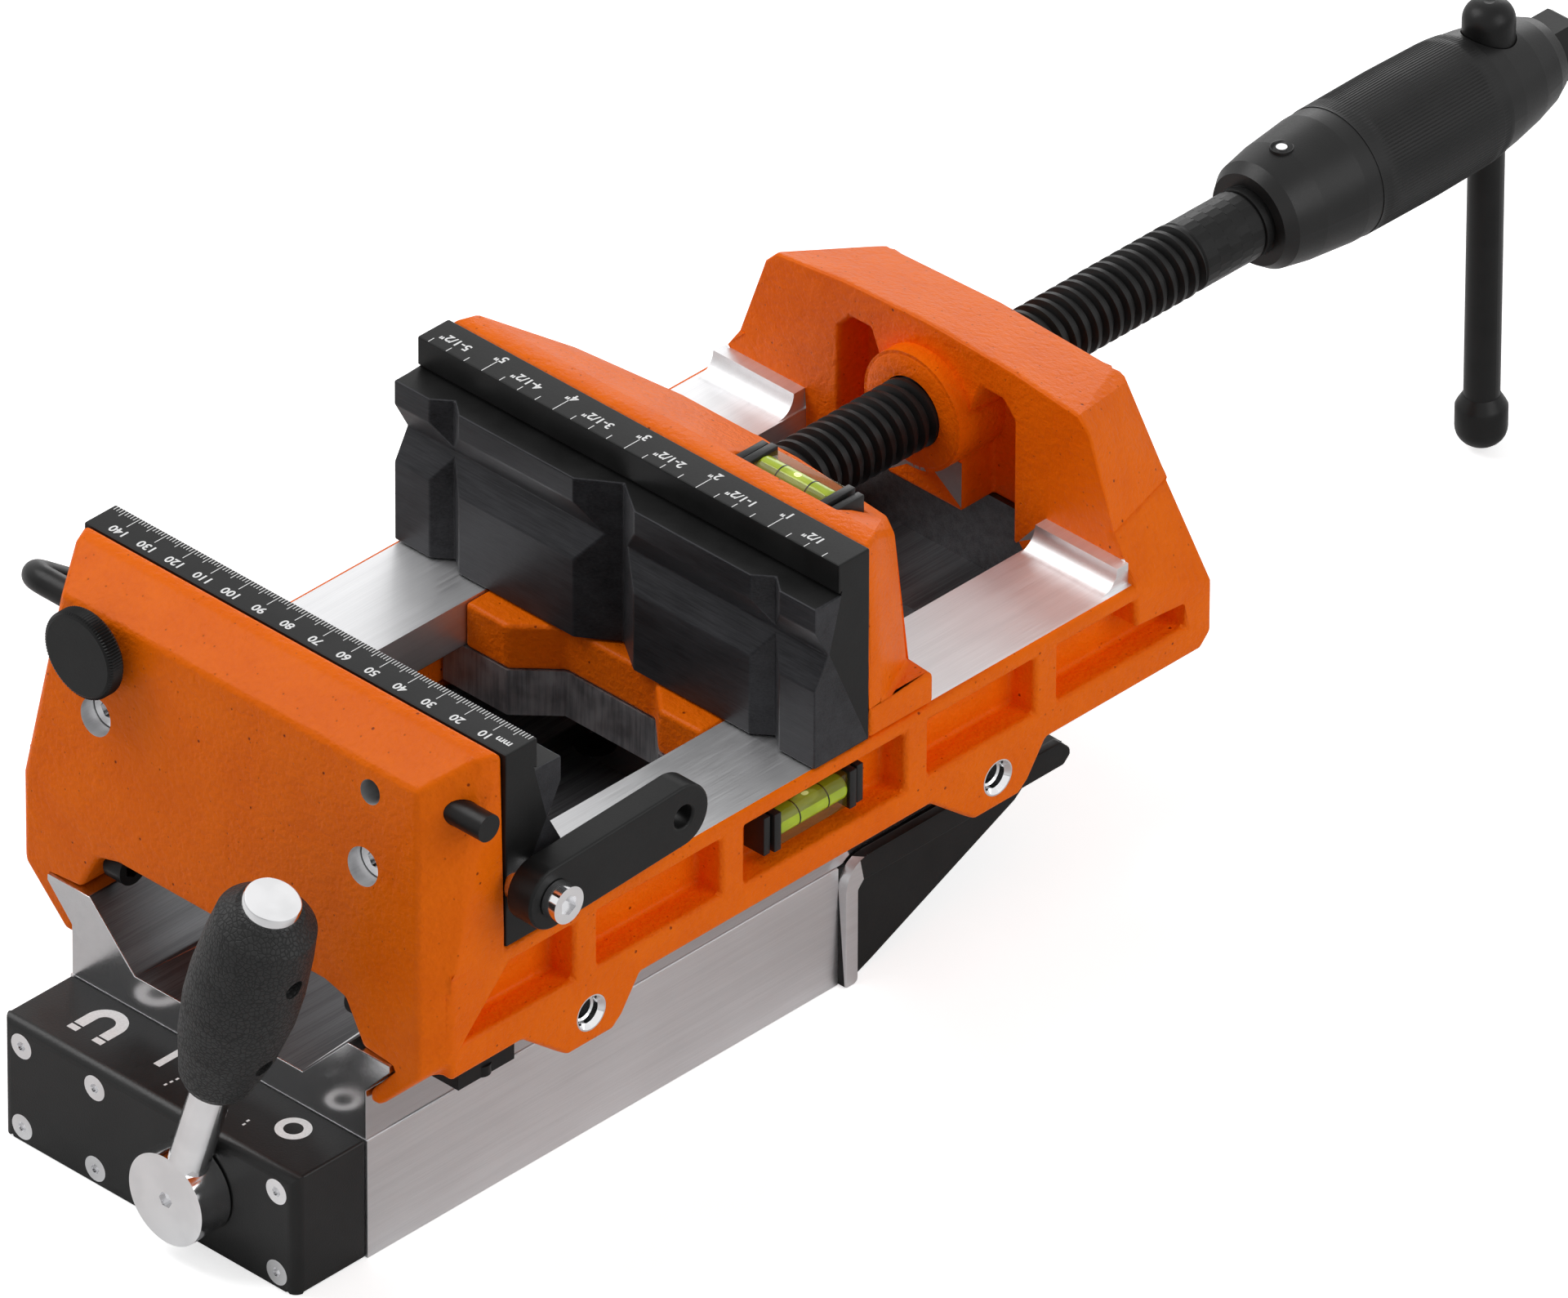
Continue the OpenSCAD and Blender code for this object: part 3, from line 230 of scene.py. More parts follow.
def brushed(name, colour, along, roughness=(0.2, 0.34), streak=0.012, wear=0.10):
    """Ground or brushed steel with streaks along one axis."""
    m = Shader(name, Metallic=1.0)
    stretch = {"X": (60, 1, 1), "Y": (1, 60, 1), "Z": (1, 1, 60)}[along]
    fine = m.noise(0.35, 3.0, 0.7, stretch)
    broad = m.noise(2.5, 2.0, 0.5, stretch)
    cloud = m.noise(30, 2.0)
    dark = tuple(c * (1 - wear) for c in colour)
    m.feed("Base Color", m.mix((fine * 0.5 + broad * 0.3 + cloud * 0.2).steps(0.35, 0.65), dark, colour))
    m.feed("Roughness", (fine * 0.6 + cloud * 0.4).steps(0.3, 0.7, *roughness))
    m.bump((fine, streak), (broad, streak))
    return m.material


def chrome_plate():
    m = Shader("bright_chrome", Metallic=1.0)
    cloud = m.noise(9, 2.0)
    m.feed("Base Color", m.mix(cloud.steps(0.3, 0.7), (0.78, 0.78, 0.79), (0.86, 0.86, 0.87)))
    m.feed("Roughness", cloud.steps(0.3, 0.7, 0.09, 0.16))
    m.bump((m.noise(3, 2.0), 0.01))
    return m.material


def black_oxide(name="black_oxide", level=0.009, roughness=(0.34, 0.46)):
    m = Shader(name, Specular_IOR_Level=0.2)
    cloud = m.noise(12, 3.0)
    fine = m.noise(0.7, 2.0)
    m.feed("Base Color", m.mix(cloud.steps(0.3, 0.7), (level * 0.8,) * 3, (level * 1.25,) * 3))
    m.feed("Roughness", (cloud * 0.5 + fine * 0.5).steps(0.3, 0.7, *roughness))
    m.bump((fine, 0.012), (cloud, 0.05))
    return m.material


def ground_jaw_steel():
    """Dark hardened steel of the prism pads, with short grinding streaks along the jaw."""
    m = Shader("ground_jaw_steel", Metallic=0.3, Specular_IOR_Level=0.2)
    streak = m.noise(0.5, 4.0, 0.7, (22, 1, 1))
    band = m.noise(5, 3.0, 0.6, (4, 1, 1))
    cloud = m.noise(24, 2.0)
    m.feed("Base Color", m.ramp(streak * 0.45 + band * 0.35 + cloud * 0.2,
                                (0.35, (0.018, 0.018, 0.020)), (0.62, (0.050, 0.050, 0.055))))
    m.feed("Roughness", (streak * 0.6 + band * 0.4).steps(0.3, 0.7, 0.36, 0.52))
    m.bump((streak, 0.03), (band, 0.05))
    return m.material


def moulded_plastic(name="moulded_black", level=0.010, roughness=(0.34, 0.44), grain=0.02):
    m = Shader(name, Specular_IOR_Level=0.28)
    fine = m.noise(0.5, 2.0)
    cloud = m.noise(16, 2.0)
    m.feed("Base Color", m.mix(cloud.steps(0.3, 0.7), (level * 0.85,) * 3, (level * 1.2,) * 3))
    m.feed("Roughness", (fine * 0.6 + cloud * 0.4).steps(0.3, 0.7, *roughness))
    m.bump((fine, grain))
    return m.material


def leather_grain():
    """Moulded grip plastic with a fine leather grain, whose darker creases are painted shade."""
    m = Shader("leather_grain_black", Specular_IOR_Level=0.28)
    pebbles = m.cells(1.5, "SMOOTH_F1")
    crease = m.cells(1.3, "DISTANCE_TO_EDGE").steps(0.0, 0.2)
    # The creases are painted darker: painted shade in the grain's hollows.
    m.feed("Base Color", m.mix(crease, (0.010,) * 3, (0.024,) * 3))
    m.feed("Roughness", crease.steps(0, 1, 0.62, 0.46))
    m.bump((crease, 0.10), (pebbles, 0.06))
    return m.material


def rough_steel():
    m = Shader("rough_milled_steel", Metallic=0.75)
    streak = m.noise(0.8, 3.0, 0.6, (1, 1, 18))
    cloud = m.noise(6, 3.0)
    m.feed("Base Color", m.mix((streak * 0.5 + cloud * 0.5).steps(0.3, 0.7), (0.15, 0.15, 0.16),
                               (0.34, 0.34, 0.35)))
    m.feed("Roughness", cloud.steps(0.3, 0.7, 0.42, 0.6))
    m.bump((streak, 0.04), (cloud, 0.06))
    return m.material


def turned_bronze():
    m = Shader("turned_bronze", Metallic=1.0)
    ring = m.noise(0.4, 2.0)
    m.feed("Base Color", m.mix(ring.steps(0.3, 0.7), (0.42, 0.27, 0.13), (0.60, 0.42, 0.22)))
    m.feed("Roughness", ring.steps(0.3, 0.7, 0.25, 0.4))
    m.bump((ring, 0.02))
    return m.material


def tinted_clear(name, colour, roughness, alpha, glow=0.0):
    """Clear coloured plastic or liquid, with an optional glow that is painted light."""
    m = Shader(name, Specular_IOR_Level=0.6, IOR=1.45, Alpha=alpha)
    swirl = m.noise(6, 2.0)
    dark = tuple(c * 0.82 for c in colour)
    m.feed("Base Color", m.mix(swirl.steps(0.3, 0.7), dark, colour))
    m.feed("Roughness", swirl.steps(0.3, 0.7, roughness, roughness + 0.05))
    if glow:
        m.principled.inputs["Emission Color"].default_value = (*colour, 1)
        m.principled.inputs["Emission Strength"].default_value = glow
    return m.material


def print_white():
    m = Shader("printed_white", Specular_IOR_Level=0.4)
    wear = m.noise(0.6, 2.0)
    m.feed("Base Color", m.mix(wear.steps(0.3, 0.7), (0.86,) * 3, (0.95,) * 3))
    m.feed("Roughness", wear.steps(0.3, 0.7, 0.45, 0.6))
    return m.material


ORANGE = orange_enamel()
SIDE_STEEL = brushed("brushed_side_steel", (0.76, 0.76, 0.77), "Y", (0.30, 0.42), 0.010)
WAY_STEEL = brushed("ground_way_steel", (0.76, 0.76, 0.77), "Y", (0.40, 0.50), 0.006)
GUIDE_STEEL = brushed("polished_guide_steel", (0.60, 0.60, 0.61), "Y", (0.14, 0.26), 0.008)
# A darker copy of the guide steel for the trough floor, the tongue and its end wall: painted shade and
# painted dark reflection.
SHADED_TROUGH_STEEL = brushed("shaded_trough_steel", (0.19, 0.193, 0.20), "Y", (0.36, 0.48), 0.012, 0.5)
CHROME = chrome_plate()
OXIDE = black_oxide()
THREAD_BLACK = black_oxide("black_thread", 0.008, (0.30, 0.40))
PAD_STEEL = ground_jaw_steel()
PLASTIC = moulded_plastic()
CAP_PLASTIC = moulded_plastic("cap_black", 0.012, (0.30, 0.42), 0.03)
LEATHER = leather_grain()
ROUGH = rough_steel()
BRONZE = turned_bronze()
AMBER = tinted_clear("amber_clear", (0.16, 0.10, 0.01), 0.08, 0.42)
# The liquid glows faintly and the bubble strongly, though neither is a lamp: painted glow and painted
# highlight.
VIAL = tinted_clear("vial_liquid", (0.46, 0.60, 0.02), 0.06, 0.9, 0.08)
BUBBLE = tinted_clear("vial_bubble", (0.95, 1.0, 0.40), 0.05, 0.9, 0.55)
WHITE = print_white()


# Making pieces

SHARP_ANGLE = 35


def shade_smooth(mesh, sharpest=SHARP_ANGLE):
    """Shades a mesh smoothly, apart from the edges that turn more than sharpest degrees."""
    mesh.polygons.foreach_set("use_smooth", [True] * len(mesh.polygons))
    mesh.set_sharp_from_angle(angle=math.radians(sharpest))


def piece_from(bm, name, finishes, body, replaced=(), sharpest=SHARP_ANGLE):
    """Turns a bmesh in millimetres into a finished piece that rides on a body."""
    bmesh.ops.scale(bm, vec=(MM, MM, MM), verts=bm.verts)
    mesh = bpy.data.meshes.new(name)
    bm.to_mesh(mesh)
    bm.free()
    shade_smooth(mesh, sharpest)
    for finish in finishes:
        mesh.materials.append(finish)
    obj = bpy.data.objects.new(name, mesh)
    bpy.context.scene.collection.objects.link(obj)
    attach(obj, body)
    if replaced:
        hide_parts(*replaced)
    return obj


def split_faces(bm):
    bmesh.ops.triangulate(bm, faces=bm.faces, quad_method="BEAUTY", ngon_method="BEAUTY")


def copy_of(node):
    """A CAD node's mesh as a merged bmesh in millimetres, with its flat faces split anew."""
    bm = bmesh.new()
    bm.from_mesh(NODES[node].data)
    bmesh.ops.scale(bm, vec=(1 / MM,) * 3, verts=bm.verts)
    bmesh.ops.remove_doubles(bm, verts=bm.verts, dist=0.002)
    bmesh.ops.dissolve_limit(bm, angle_limit=math.radians(0.6), verts=bm.verts, edges=bm.edges)
    split_faces(bm)
    return bm


def round_edges(bm, width, segments=3, sharpest=28, shortest=3.0, keep=None):
    """Rounds the edges that turn more than sharpest degrees and are longer than shortest."""
    edges = [e for e in bm.edges if e.is_manifold and e.calc_length() > shortest
             and e.calc_face_angle(0) > math.radians(sharpest) and (keep is None or keep(e))]
    before = BVHTree.FromBMesh(bm)
    bmesh.ops.bevel(bm, geom=edges, offset=width, offset_type="OFFSET", segments=segments, profile=0.5,
                    affect="EDGES", clamp_overlap=False, loop_slide=False, material=-1)
    split_faces(bm)
    bmesh.ops.dissolve_degenerate(bm, dist=0.001, edges=bm.edges)
    bm.normal_update()
    turned_over = -0.2
    for face in bm.faces:
        normal_before = before.find_nearest(face.calc_center_median())[1]
        if face.normal.dot(normal_before) < turned_over:
            face.normal_flip()
    return bm


def finish_node(node, material):
    """Gives a CAD node that stays its material."""
    mesh = NODES[node].data
    mesh.materials.clear()
    mesh.materials.append(material)
    shade_smooth(mesh)


KEPT = {
    "magnet_housing": SIDE_STEEL, "fixed_magnet": ROUGH, "cap_screws": CHROME,
    "guide_screws": OXIDE, "tail_screws": OXIDE, "clamp_shoes": OXIDE,
    "lock_screws": OXIDE, "fixed_plate_screws": CHROME, "spindle_nut": BRONZE,
    "nut_screw": OXIDE, "arm_screw": CHROME, "moving_plate_screws": CHROME,
    "keel_block": ROUGH, "keel_screws": OXIDE, "spindle_retainer": SIDE_STEEL, "retainer_screws": OXIDE,
    "sleeve_pin": SIDE_STEEL, "tommy_bar": THREAD_BLACK, "turning_magnet": ROUGH, "lever_hub": CHROME,
    "hub_screw": CHROME, "lever_rod": CHROME, "grip_left": LEATHER, "grip_right": LEATHER,
    "grip_screws": CHROME, "stop_rod": THREAD_BLACK, "handle_sleeve": PLASTIC,
}
for kept_node, kept_material in KEPT.items():
    finish_node(kept_node, kept_material)


# Shapes that repeat, added to a bmesh in millimetres

def add_box(bm, low, high):
    """A box between two opposite corners."""
    low, high = Vector(low), Vector(high)
    made = bmesh.ops.create_cube(bm, size=1)["verts"]
    bmesh.ops.scale(bm, vec=high - low, verts=made)
    bmesh.ops.translate(bm, vec=(low + high) / 2, verts=made)


def close_up(bm):
    """Joins the points that meet and turns all faces outwards."""
    bmesh.ops.remove_doubles(bm, verts=bm.verts, dist=0.0005)
    bmesh.ops.recalc_face_normals(bm, faces=bm.faces)


def add_turned(bm, points, centre, axis="Y", steps=96):
    """Turns points of radius and place along the axis about an axis through centre."""
    along = Vector((axis == "X", axis == "Y", axis == "Z"))
    out = Vector((1, 0, 0)) if axis == "Z" else Vector((0, 0, 1))
    rim = [bm.verts.new(Vector(centre) + out * radius + along * place) for radius, place in points]
    path = [bm.edges.new(pair) for pair in zip(rim, rim[1:])]
    bmesh.ops.spin(bm, geom=rim + path, cent=centre, axis=along, angle=math.tau, steps=steps,
                   use_merge=True)
    close_up(bm)


def add_all(bm, other):
    """Moves the faces of one bmesh into another."""
    mesh = bpy.data.meshes.new("part")
    other.to_mesh(mesh)
    other.free()
    bm.from_mesh(mesh)
    bpy.data.meshes.remove(mesh)


def press_grooves(bm, centre, columns, radius, depth, is_ribbed):
    """Sinks every second column of points around a Y axis, where is_ribbed(y, distance) holds."""
    grooves = []
    for v in bm.verts:
        across, up = v.co.x - centre[0], v.co.z - centre[2]
        column = round(math.atan2(across, up) / math.tau * columns)
        if column % 2 and is_ribbed(v.co.y, math.hypot(across, up)):
            grooves.append(v)
    shrink = 1 - depth / radius
    bmesh.ops.scale(bm, vec=(shrink, 1, shrink), verts=grooves,
                    space=Matrix.Translation((-centre[0], 0, -centre[2])))


def add_lettering(bm, text, size, place):
    """Flat lettering on an upward face, centred at a place, that reads from the handle's side."""
    ink_thickness, boldness = 0.03, 0.022
    curve = bpy.data.curves.new("lettering", "FONT")
    curve.body = text
    curve.size = size
    curve.extrude = ink_thickness
    curve.offset = size * boldness
    curve.resolution_u = 3
    curve.align_x = "CENTER"
    curve.align_y = "CENTER"
    holder = bpy.data.objects.new("lettering", curve)
    mesh = bpy.data.meshes.new_from_object(holder)
    mesh.transform(Matrix.Translation(place) @ Matrix.Rotation(math.pi, 4, "Z"))
    bm.from_mesh(mesh)
    bpy.data.objects.remove(holder)
    bpy.data.curves.remove(curve)
    bpy.data.meshes.remove(mesh)


def flatten_shading(piece):
    """Shades flat faces level and rounded edges smoothly, by the areas that meet at each corner."""
    mesh, smallest_face = piece.data, 1e-10
    limit = math.cos(math.radians(SHARP_ANGLE))
    around = [[] for _ in mesh.vertices]
    for face in mesh.polygons:
        if face.area > smallest_face:
            for index in face.vertices:
                around[index].append((face.normal.copy(), face.area))
    normals = []
    for face in mesh.polygons:
        for index in face.vertices:
            total = Vector()
            for normal, area in around[index]:
                if normal.dot(face.normal) > limit:
                    total += normal * area
            normals.append(total.normalized() if total.length > 0 else face.normal.copy())
    mesh.normals_split_custom_set(normals)


# Castings: the bed with its ground ways, and the moving jaw

WAY_Z = 91.4
WAY_DEPTH = 13.3
WAY_INNER = 42.5
LIP_OUTER = 72.0
LIP_HEIGHT = 6.3
LIP_START_Y = 160.0
BRACKET_Y = 170.0
TONGUE_END_Y = 184.0
TONGUE_TOP_Z = 85.0
SCREW_X = 47.5
# Sideways place, height and reach of the screw holes in the fixed jaw's front
SCREW_HOLES = ((SCREW_X, 114.8, 5.5), (SCREW_X, 136.0, 3.6))


def is_ground(face):
    """Whether a face of the bed is one of the ground steel surfaces of the ways."""
    place, normal = face.calc_center_median(), face.normal
    x = abs(place.x)
    if place.y > BRACKET_Y + 0.1 or place.y < FIXED_PLATE_BACK:
        return False
    on_top = abs(place.z - WAY_Z) < 0.1 and normal.z > 0.99
    inner_wall = abs(x - WAY_INNER) < 0.3 and place.z > WAY_Z - WAY_DEPTH
    on_lip = LIP_START_Y < place.y and WAY_Z < place.z < WAY_Z + LIP_HEIGHT and x < LIP_OUTER + 0.1
    return on_top or inner_wall or on_lip


def is_bored(face):
    """Whether a face of the bed lies inside one of the screw holes of the fixed jaw's front."""
    place = face.calc_center_median()
    return any(math.hypot(abs(place.x) - x, place.z - z) < radius and place.y < FIXED_PLATE_BACK
               for x, z, radius in SCREW_HOLES)


def is_cast_edge(edge):
    """Leaves out the crisp edges of the ground ways and of their lips."""
    place = (edge.verts[0].co + edge.verts[1].co) / 2
    on_lip = LIP_START_Y - 1 < place.y < BRACKET_Y + 0.2 and WAY_Z - 0.2 < place.z < WAY_Z + LIP_HEIGHT
    on_way = abs(abs(place.x) - WAY_INNER) < 0.3 and place.z > WAY_Z - WAY_DEPTH - 0.7
    return not (on_way or on_lip and abs(place.x) < LIP_OUTER + 0.5)


def add_castings():
    cast_rounding = 1.5
    bm = round_edges(copy_of("bed"), cast_rounding, keep=is_cast_edge)
    for face in bm.faces:
        face.material_index = 1 if is_ground(face) or is_bored(face) else 0
    bed = piece_from(bm, "cast_bed", (ORANGE, WAY_STEEL), BODY_OF["bed"], ("bed",))
    flatten_shading(bed)
    bm = round_edges(copy_of("moving_jaw"), cast_rounding)
    jaw = piece_from(bm, "moving_jaw_casting", (ORANGE,), BODY_OF["moving_jaw"],
                     ("moving_jaw",))
    flatten_shading(jaw)


def add_boss_face():
    """The painted ring around the spindle, over the front of its nut."""
    bm = bmesh.new()
    nut_front, bore, rim = node_box("spindle_nut")[0].y, THREAD_R + 0.15, 16.2
    front, back = nut_front - 0.3, nut_front + 0.1
    add_turned(bm, [(bore, front), (rim - 0.6, front), (rim, back), (bore, back), (bore, front)],
               (0, 0, SPINDLE_Z))
    piece_from(bm, "painted_boss_face", (ORANGE,), "base")


def add_bushes():
    """The four turned bushes in the bed's sides, and black discs deep in their holes that are painted
    shade.
    """
    bm, hole_shade = bmesh.new(), bmesh.new()
    low, high = node_box("side_bushes")
    radius, face_x, end_x = (high.z - low.z) / 2, high.x, high.x - 11.8
    mouth_r, thread_r = 3.7, 3.1
    outline = [(radius, end_x), (radius, face_x), (radius - 0.4, face_x), (mouth_r, face_x - 1.4),
               (mouth_r, face_x - 3.0), (thread_r, face_x - 3.4), (thread_r, end_x), (radius, end_x)]
    # A black disc deep in each hole stands for the shade there: painted shade.
    bottom = [(0, face_x - 8), (3.0, face_x - 8), (3.0, face_x - 11.7), (0, face_x - 11.7)]
    for side in (-1, 1):
        for y in (low.y + radius, high.y - radius):
            centre = (0, y, (low.z + high.z) / 2)
            add_turned(bm, [(r, side * x) for r, x in outline], centre, "X", 64)
            add_turned(hole_shade, [(r, side * x) for r, x in bottom], centre, "X", 48)
    piece_from(bm, "turned_bushes", (CHROME,), "base", ("side_bushes",))
    piece_from(hole_shade, "bush_hole_shade", (OXIDE,), "base")


def add_guide_plate():
    """The polished plate, with the tongue and end wall that show through the rear opening; the trough
    floor, tongue and wall take a darker steel as painted shade and painted dark reflection.
    """
    bm = round_edges(copy_of("guide_plate"), 0.4, segments=2, sharpest=20, shortest=4.0)
    high = node_box("guide_plate")[1]
    half, overlap, wall = 41, 2, 3
    floor_low, floor_high = high.z - 7.2, high.z - 1.2
    add_box(bm, (-half, high.y - overlap, floor_low), (half, TONGUE_END_Y, floor_high))
    add_box(bm, (-half, TONGUE_END_Y - wall, floor_low), (half, TONGUE_END_Y, TONGUE_TOP_Z))
    bm.normal_update()
    smallest_floor_face = 20
    for face in bm.faces:
        place = face.calc_center_median()
        faces_up = face.normal.z > 0.3 and abs(place.x) < 50 and place.z < high.z + 8
        shaded_trough_floor = faces_up and face.calc_area() > smallest_floor_face
        shaded_tongue = place.y > high.y + 0.1
        # The trough floor, the tongue and its wall take the darker steel as painted shade.
        face.material_index = 1 if shaded_tongue or shaded_trough_floor else 0
    piece = piece_from(bm, "dovetail_guide_plate", (GUIDE_STEEL, SHADED_TROUGH_STEEL), "base",
                       ("guide_plate",))
    flatten_shading(piece)


# Jaw plates with prism pads, and their printed scales

PAD_TOP = JAW_TOP - 9.5
PRINT_LOW, PRINT_HIGH = JAW_TOP - 0.09, JAW_TOP - 0.01
PRINT_MIDDLE = (PRINT_LOW + PRINT_HIGH) / 2
FIGURE_SIZE = 3.9


def add_jaw_plate(node, name, back, towards):
    """A jaw plate whose top is lowered under the print, with its prism pads in ground steel."""
    bm = copy_of(node)
    print_sink, pad_start = 0.06, PLATE_THICK - 0.9
    tops = [v for v in bm.verts if v.co.z > JAW_TOP - 0.02]
    bmesh.ops.translate(bm, vec=(0, 0, -print_sink), verts=tops)
    round_edges(bm, 0.5, segments=2, sharpest=25, shortest=1.2)
    for face in bm.faces:
        place = face.calc_center_median()
        on_pad = (place.y - back) * towards > pad_start and place.z < PAD_TOP
        face.material_index = 1 if on_pad else 0
    piece = piece_from(bm, name, (OXIDE, PAD_STEEL), BODY_OF[node], (node,))
    flatten_shading(piece)


def add_tick(bm, x, y0, y1, width=0.22):
    """A printed line from y0 to y1."""
    add_box(bm, (x - width / 2, y0, PRINT_LOW), (x + width / 2, y1, PRINT_HIGH))


def add_millimetre_scale():
    bm = bmesh.new()
    edge = FIXED_PLATE_BACK + PLATE_THICK
    zero = JAW_HALF - 0.3
    for k in range(1, 149):
        length = 5.4 if k % 10 == 0 else 3.3 if k % 5 == 0 else 2.1
        add_tick(bm, zero - k, edge - length, edge - 0.2)
    for k in range(10, 150, 10):
        add_lettering(bm, str(k), FIGURE_SIZE, (zero - k, edge - 8.0, PRINT_MIDDLE))
    add_lettering(bm, "mm", 3.3, (zero - 4.7, edge - 7.1, PRINT_MIDDLE))
    piece_from(bm, "millimetre_scale", (WHITE,), "base")


def add_inch_scale():
    bm = bmesh.new()
    edge = MOVING_PLATE_BACK - PLATE_THICK
    inch = 25.4
    for quarter in range(1, 24):
        x = JAW_HALF + 0.2 - quarter * inch / 4
        add_tick(bm, x, edge + 0.2, edge + (5.9 if quarter % 4 == 0 else 2.3), 0.25)
        whole, rest = divmod(quarter, 4)
        if rest == 0:
            add_lettering(bm, f'{whole}"', FIGURE_SIZE, (x, edge + 7.7, PRINT_MIDDLE))
        if rest == 2:
            label = f'{whole}-1/2"' if whole else '1/2"'
            add_lettering(bm, label, FIGURE_SIZE, (x - 1, edge + 5.0, PRINT_MIDDLE))
    piece_from(bm, "inch_scale", (WHITE,), "jaw")


# Spindle with its thread, and the handle

ON_SPINDLE = (0, 0, SPINDLE_Z)
SPINDLE_START, SPINDLE_END = node_box("spindle")[0].y, node_box("spindle")[1].y
THREAD_START, THREAD_END = 116.0, 264.0
CREST_R, ROOT_R = THREAD_R, THREAD_R - THREAD_DEPTH


def add_spindle_thread():
    """The helical thread, cut off at both ends, and the plain front end with the retainer's groove."""
    bm = bmesh.new()
    segments = 64
    outline = ((CREST_R, 0), (ROOT_R, 0.22), (ROOT_R, 0.48), (CREST_R, 0.70), (CREST_R, 1.0))
    rim = [bm.verts.new((0, THREAD_START + (share - 1) * THREAD_PITCH, SPINDLE_Z + radius))
           for radius, share in outline]
    path = [bm.edges.new(pair) for pair in zip(rim, rim[1:])]
    turns = round((THREAD_END - THREAD_START) / THREAD_PITCH) + 1
    bmesh.ops.spin(bm, geom=rim + path, cent=ON_SPINDLE, axis=(0, 1, 0), steps=segments * turns,
                   dvec=(0, THREAD_PITCH / segments, 0), angle=math.tau * turns)
    bmesh.ops.remove_doubles(bm, verts=bm.verts, dist=0.001)
    for y, from_here in ((THREAD_START, True), (THREAD_END, False)):
        cut = bmesh.ops.bisect_plane(bm, geom=bm.verts[:] + bm.edges[:] + bm.faces[:], dist=0.0001,
                                     plane_co=(0, y, 0), plane_no=(0, 1, 0), clear_inner=from_here,
                                     clear_outer=not from_here)
        ends = [g for g in cut["geom_cut"] if isinstance(g, bmesh.types.BMEdge)]
        bmesh.ops.contextual_create(bm, geom=ends)
    groove_r, groove_start, groove_end = 7.6, 102.7, 109.3
    add_turned(bm, [(0, SPINDLE_START), (CREST_R - 1, SPINDLE_START), (CREST_R, SPINDLE_START + 1),
                    (CREST_R, groove_start), (groove_r, groove_start), (groove_r, groove_end),
                    (CREST_R, groove_end), (CREST_R, THREAD_START - 0.8), (ROOT_R, THREAD_START + 0.6),
                    (0, THREAD_START + 0.6)], ON_SPINDLE)
    piece_from(bm, "spindle_thread", (THREAD_BLACK,), "spindle", ("spindle",))


def add_spindle_collar():
    """The shaft between thread and handle, with its band of fine facets, and the hexagon end."""
    bm = bmesh.new()
    shaft = CREST_R - 0.2
    band_start, band_rows, row_length, facets_round = 265.4, 5, 4.08, 26
    add_turned(bm, [(0, 263.4), (ROOT_R, 263.4), (shaft, 265.0), (shaft, band_start), (0, band_start)],
               ON_SPINDLE)
    add_turned(bm, [(0, 285.8), (shaft - 0.5, 285.8), (shaft - 0.5, 286.6), (shaft + 0.1, 286.8),
                    (shaft + 0.1, 288.8), (shaft - 0.6, 289.0), (shaft - 0.6, 290.0), (shaft, 290.2),
                    (shaft, SPINDLE_END - 12), (0, SPINDLE_END - 12)], ON_SPINDLE)
    hexagon, corner_r = bmesh.new(), 9.8
    add_turned(hexagon, [(0, SPINDLE_END - 13), (corner_r, SPINDLE_END - 13), (corner_r, SPINDLE_END - 1.2),
                         (corner_r - 0.9, SPINDLE_END), (0, SPINDLE_END)], ON_SPINDLE, steps=6)
    bmesh.ops.rotate(hexagon, cent=ON_SPINDLE, matrix=Matrix.Rotation(math.pi / 2, 3, "Y"),
                     verts=hexagon.verts)
    for row in range(band_rows):
        facets = bmesh.new()
        y0, y1 = band_start + row_length * row, band_start + row_length * (row + 1)
        add_turned(facets, [(0, y0), (shaft, y0), (shaft, y1), (0, y1)], ON_SPINDLE, steps=facets_round)
        bmesh.ops.rotate(facets, cent=ON_SPINDLE, verts=facets.verts,
                         matrix=Matrix.Rotation(math.pi / facets_round * (row % 2), 3, "Y"))
        add_all(bm, facets)
    add_all(bm, hexagon)
    piece_from(bm, "spindle_collar", (THREAD_BLACK,), "spindle", ("spindle",), 12)


# Share of the sleeve's length, and how far its surface lies inside the largest radius
SLEEVE_PROFILE = ((0, 5.5), (0.03, 3.3), (0.11, 1.7), (0.24, 0.3), (0.52, 0), (0.71, 0.4), (0.8, 1.7),
                  (0.89, 3.5), (0.96, 5.5), (1, 7.5))


def sleeve_radius(y):
    """Radius of the handle sleeve at a place along the spindle."""
    share = (y - SLEEVE_LOW.y) / (SLEEVE_HIGH.y - SLEEVE_LOW.y)
    for (s0, inset0), (s1, inset1) in zip(SLEEVE_PROFILE, SLEEVE_PROFILE[1:]):
        if s0 <= share <= s1:
            return SLEEVE_HIGH.x - inset0 - (inset1 - inset0) * (share - s0) / (s1 - s0)
    return 0.0


def add_sleeve_ribs():
    """The band of fine lengthwise ribs around the handle sleeve."""
    bm = bmesh.new()
    first, last, rows, columns = 321.5, 371.5, 16, 240
    raised, groove_depth = 0.18, 0.42
    places = [first + (last - first) * i / rows for i in range(rows + 1)]
    outline = [(sleeve_radius(y) + raised, y) for y in places]
    outline = [(outline[0][0] - 1, first)] + outline + [(outline[-1][0] - 1, last)]
    outline.append(outline[0])
    add_turned(bm, outline, ON_SPINDLE, steps=columns)
    press_grooves(bm, ON_SPINDLE, columns, SLEEVE_HIGH.x, groove_depth,
                  lambda y, distance: first + 0.5 < y < last - 0.5)
    piece_from(bm, "sleeve_ribs", (PLASTIC,), "spindle", sharpest=50)


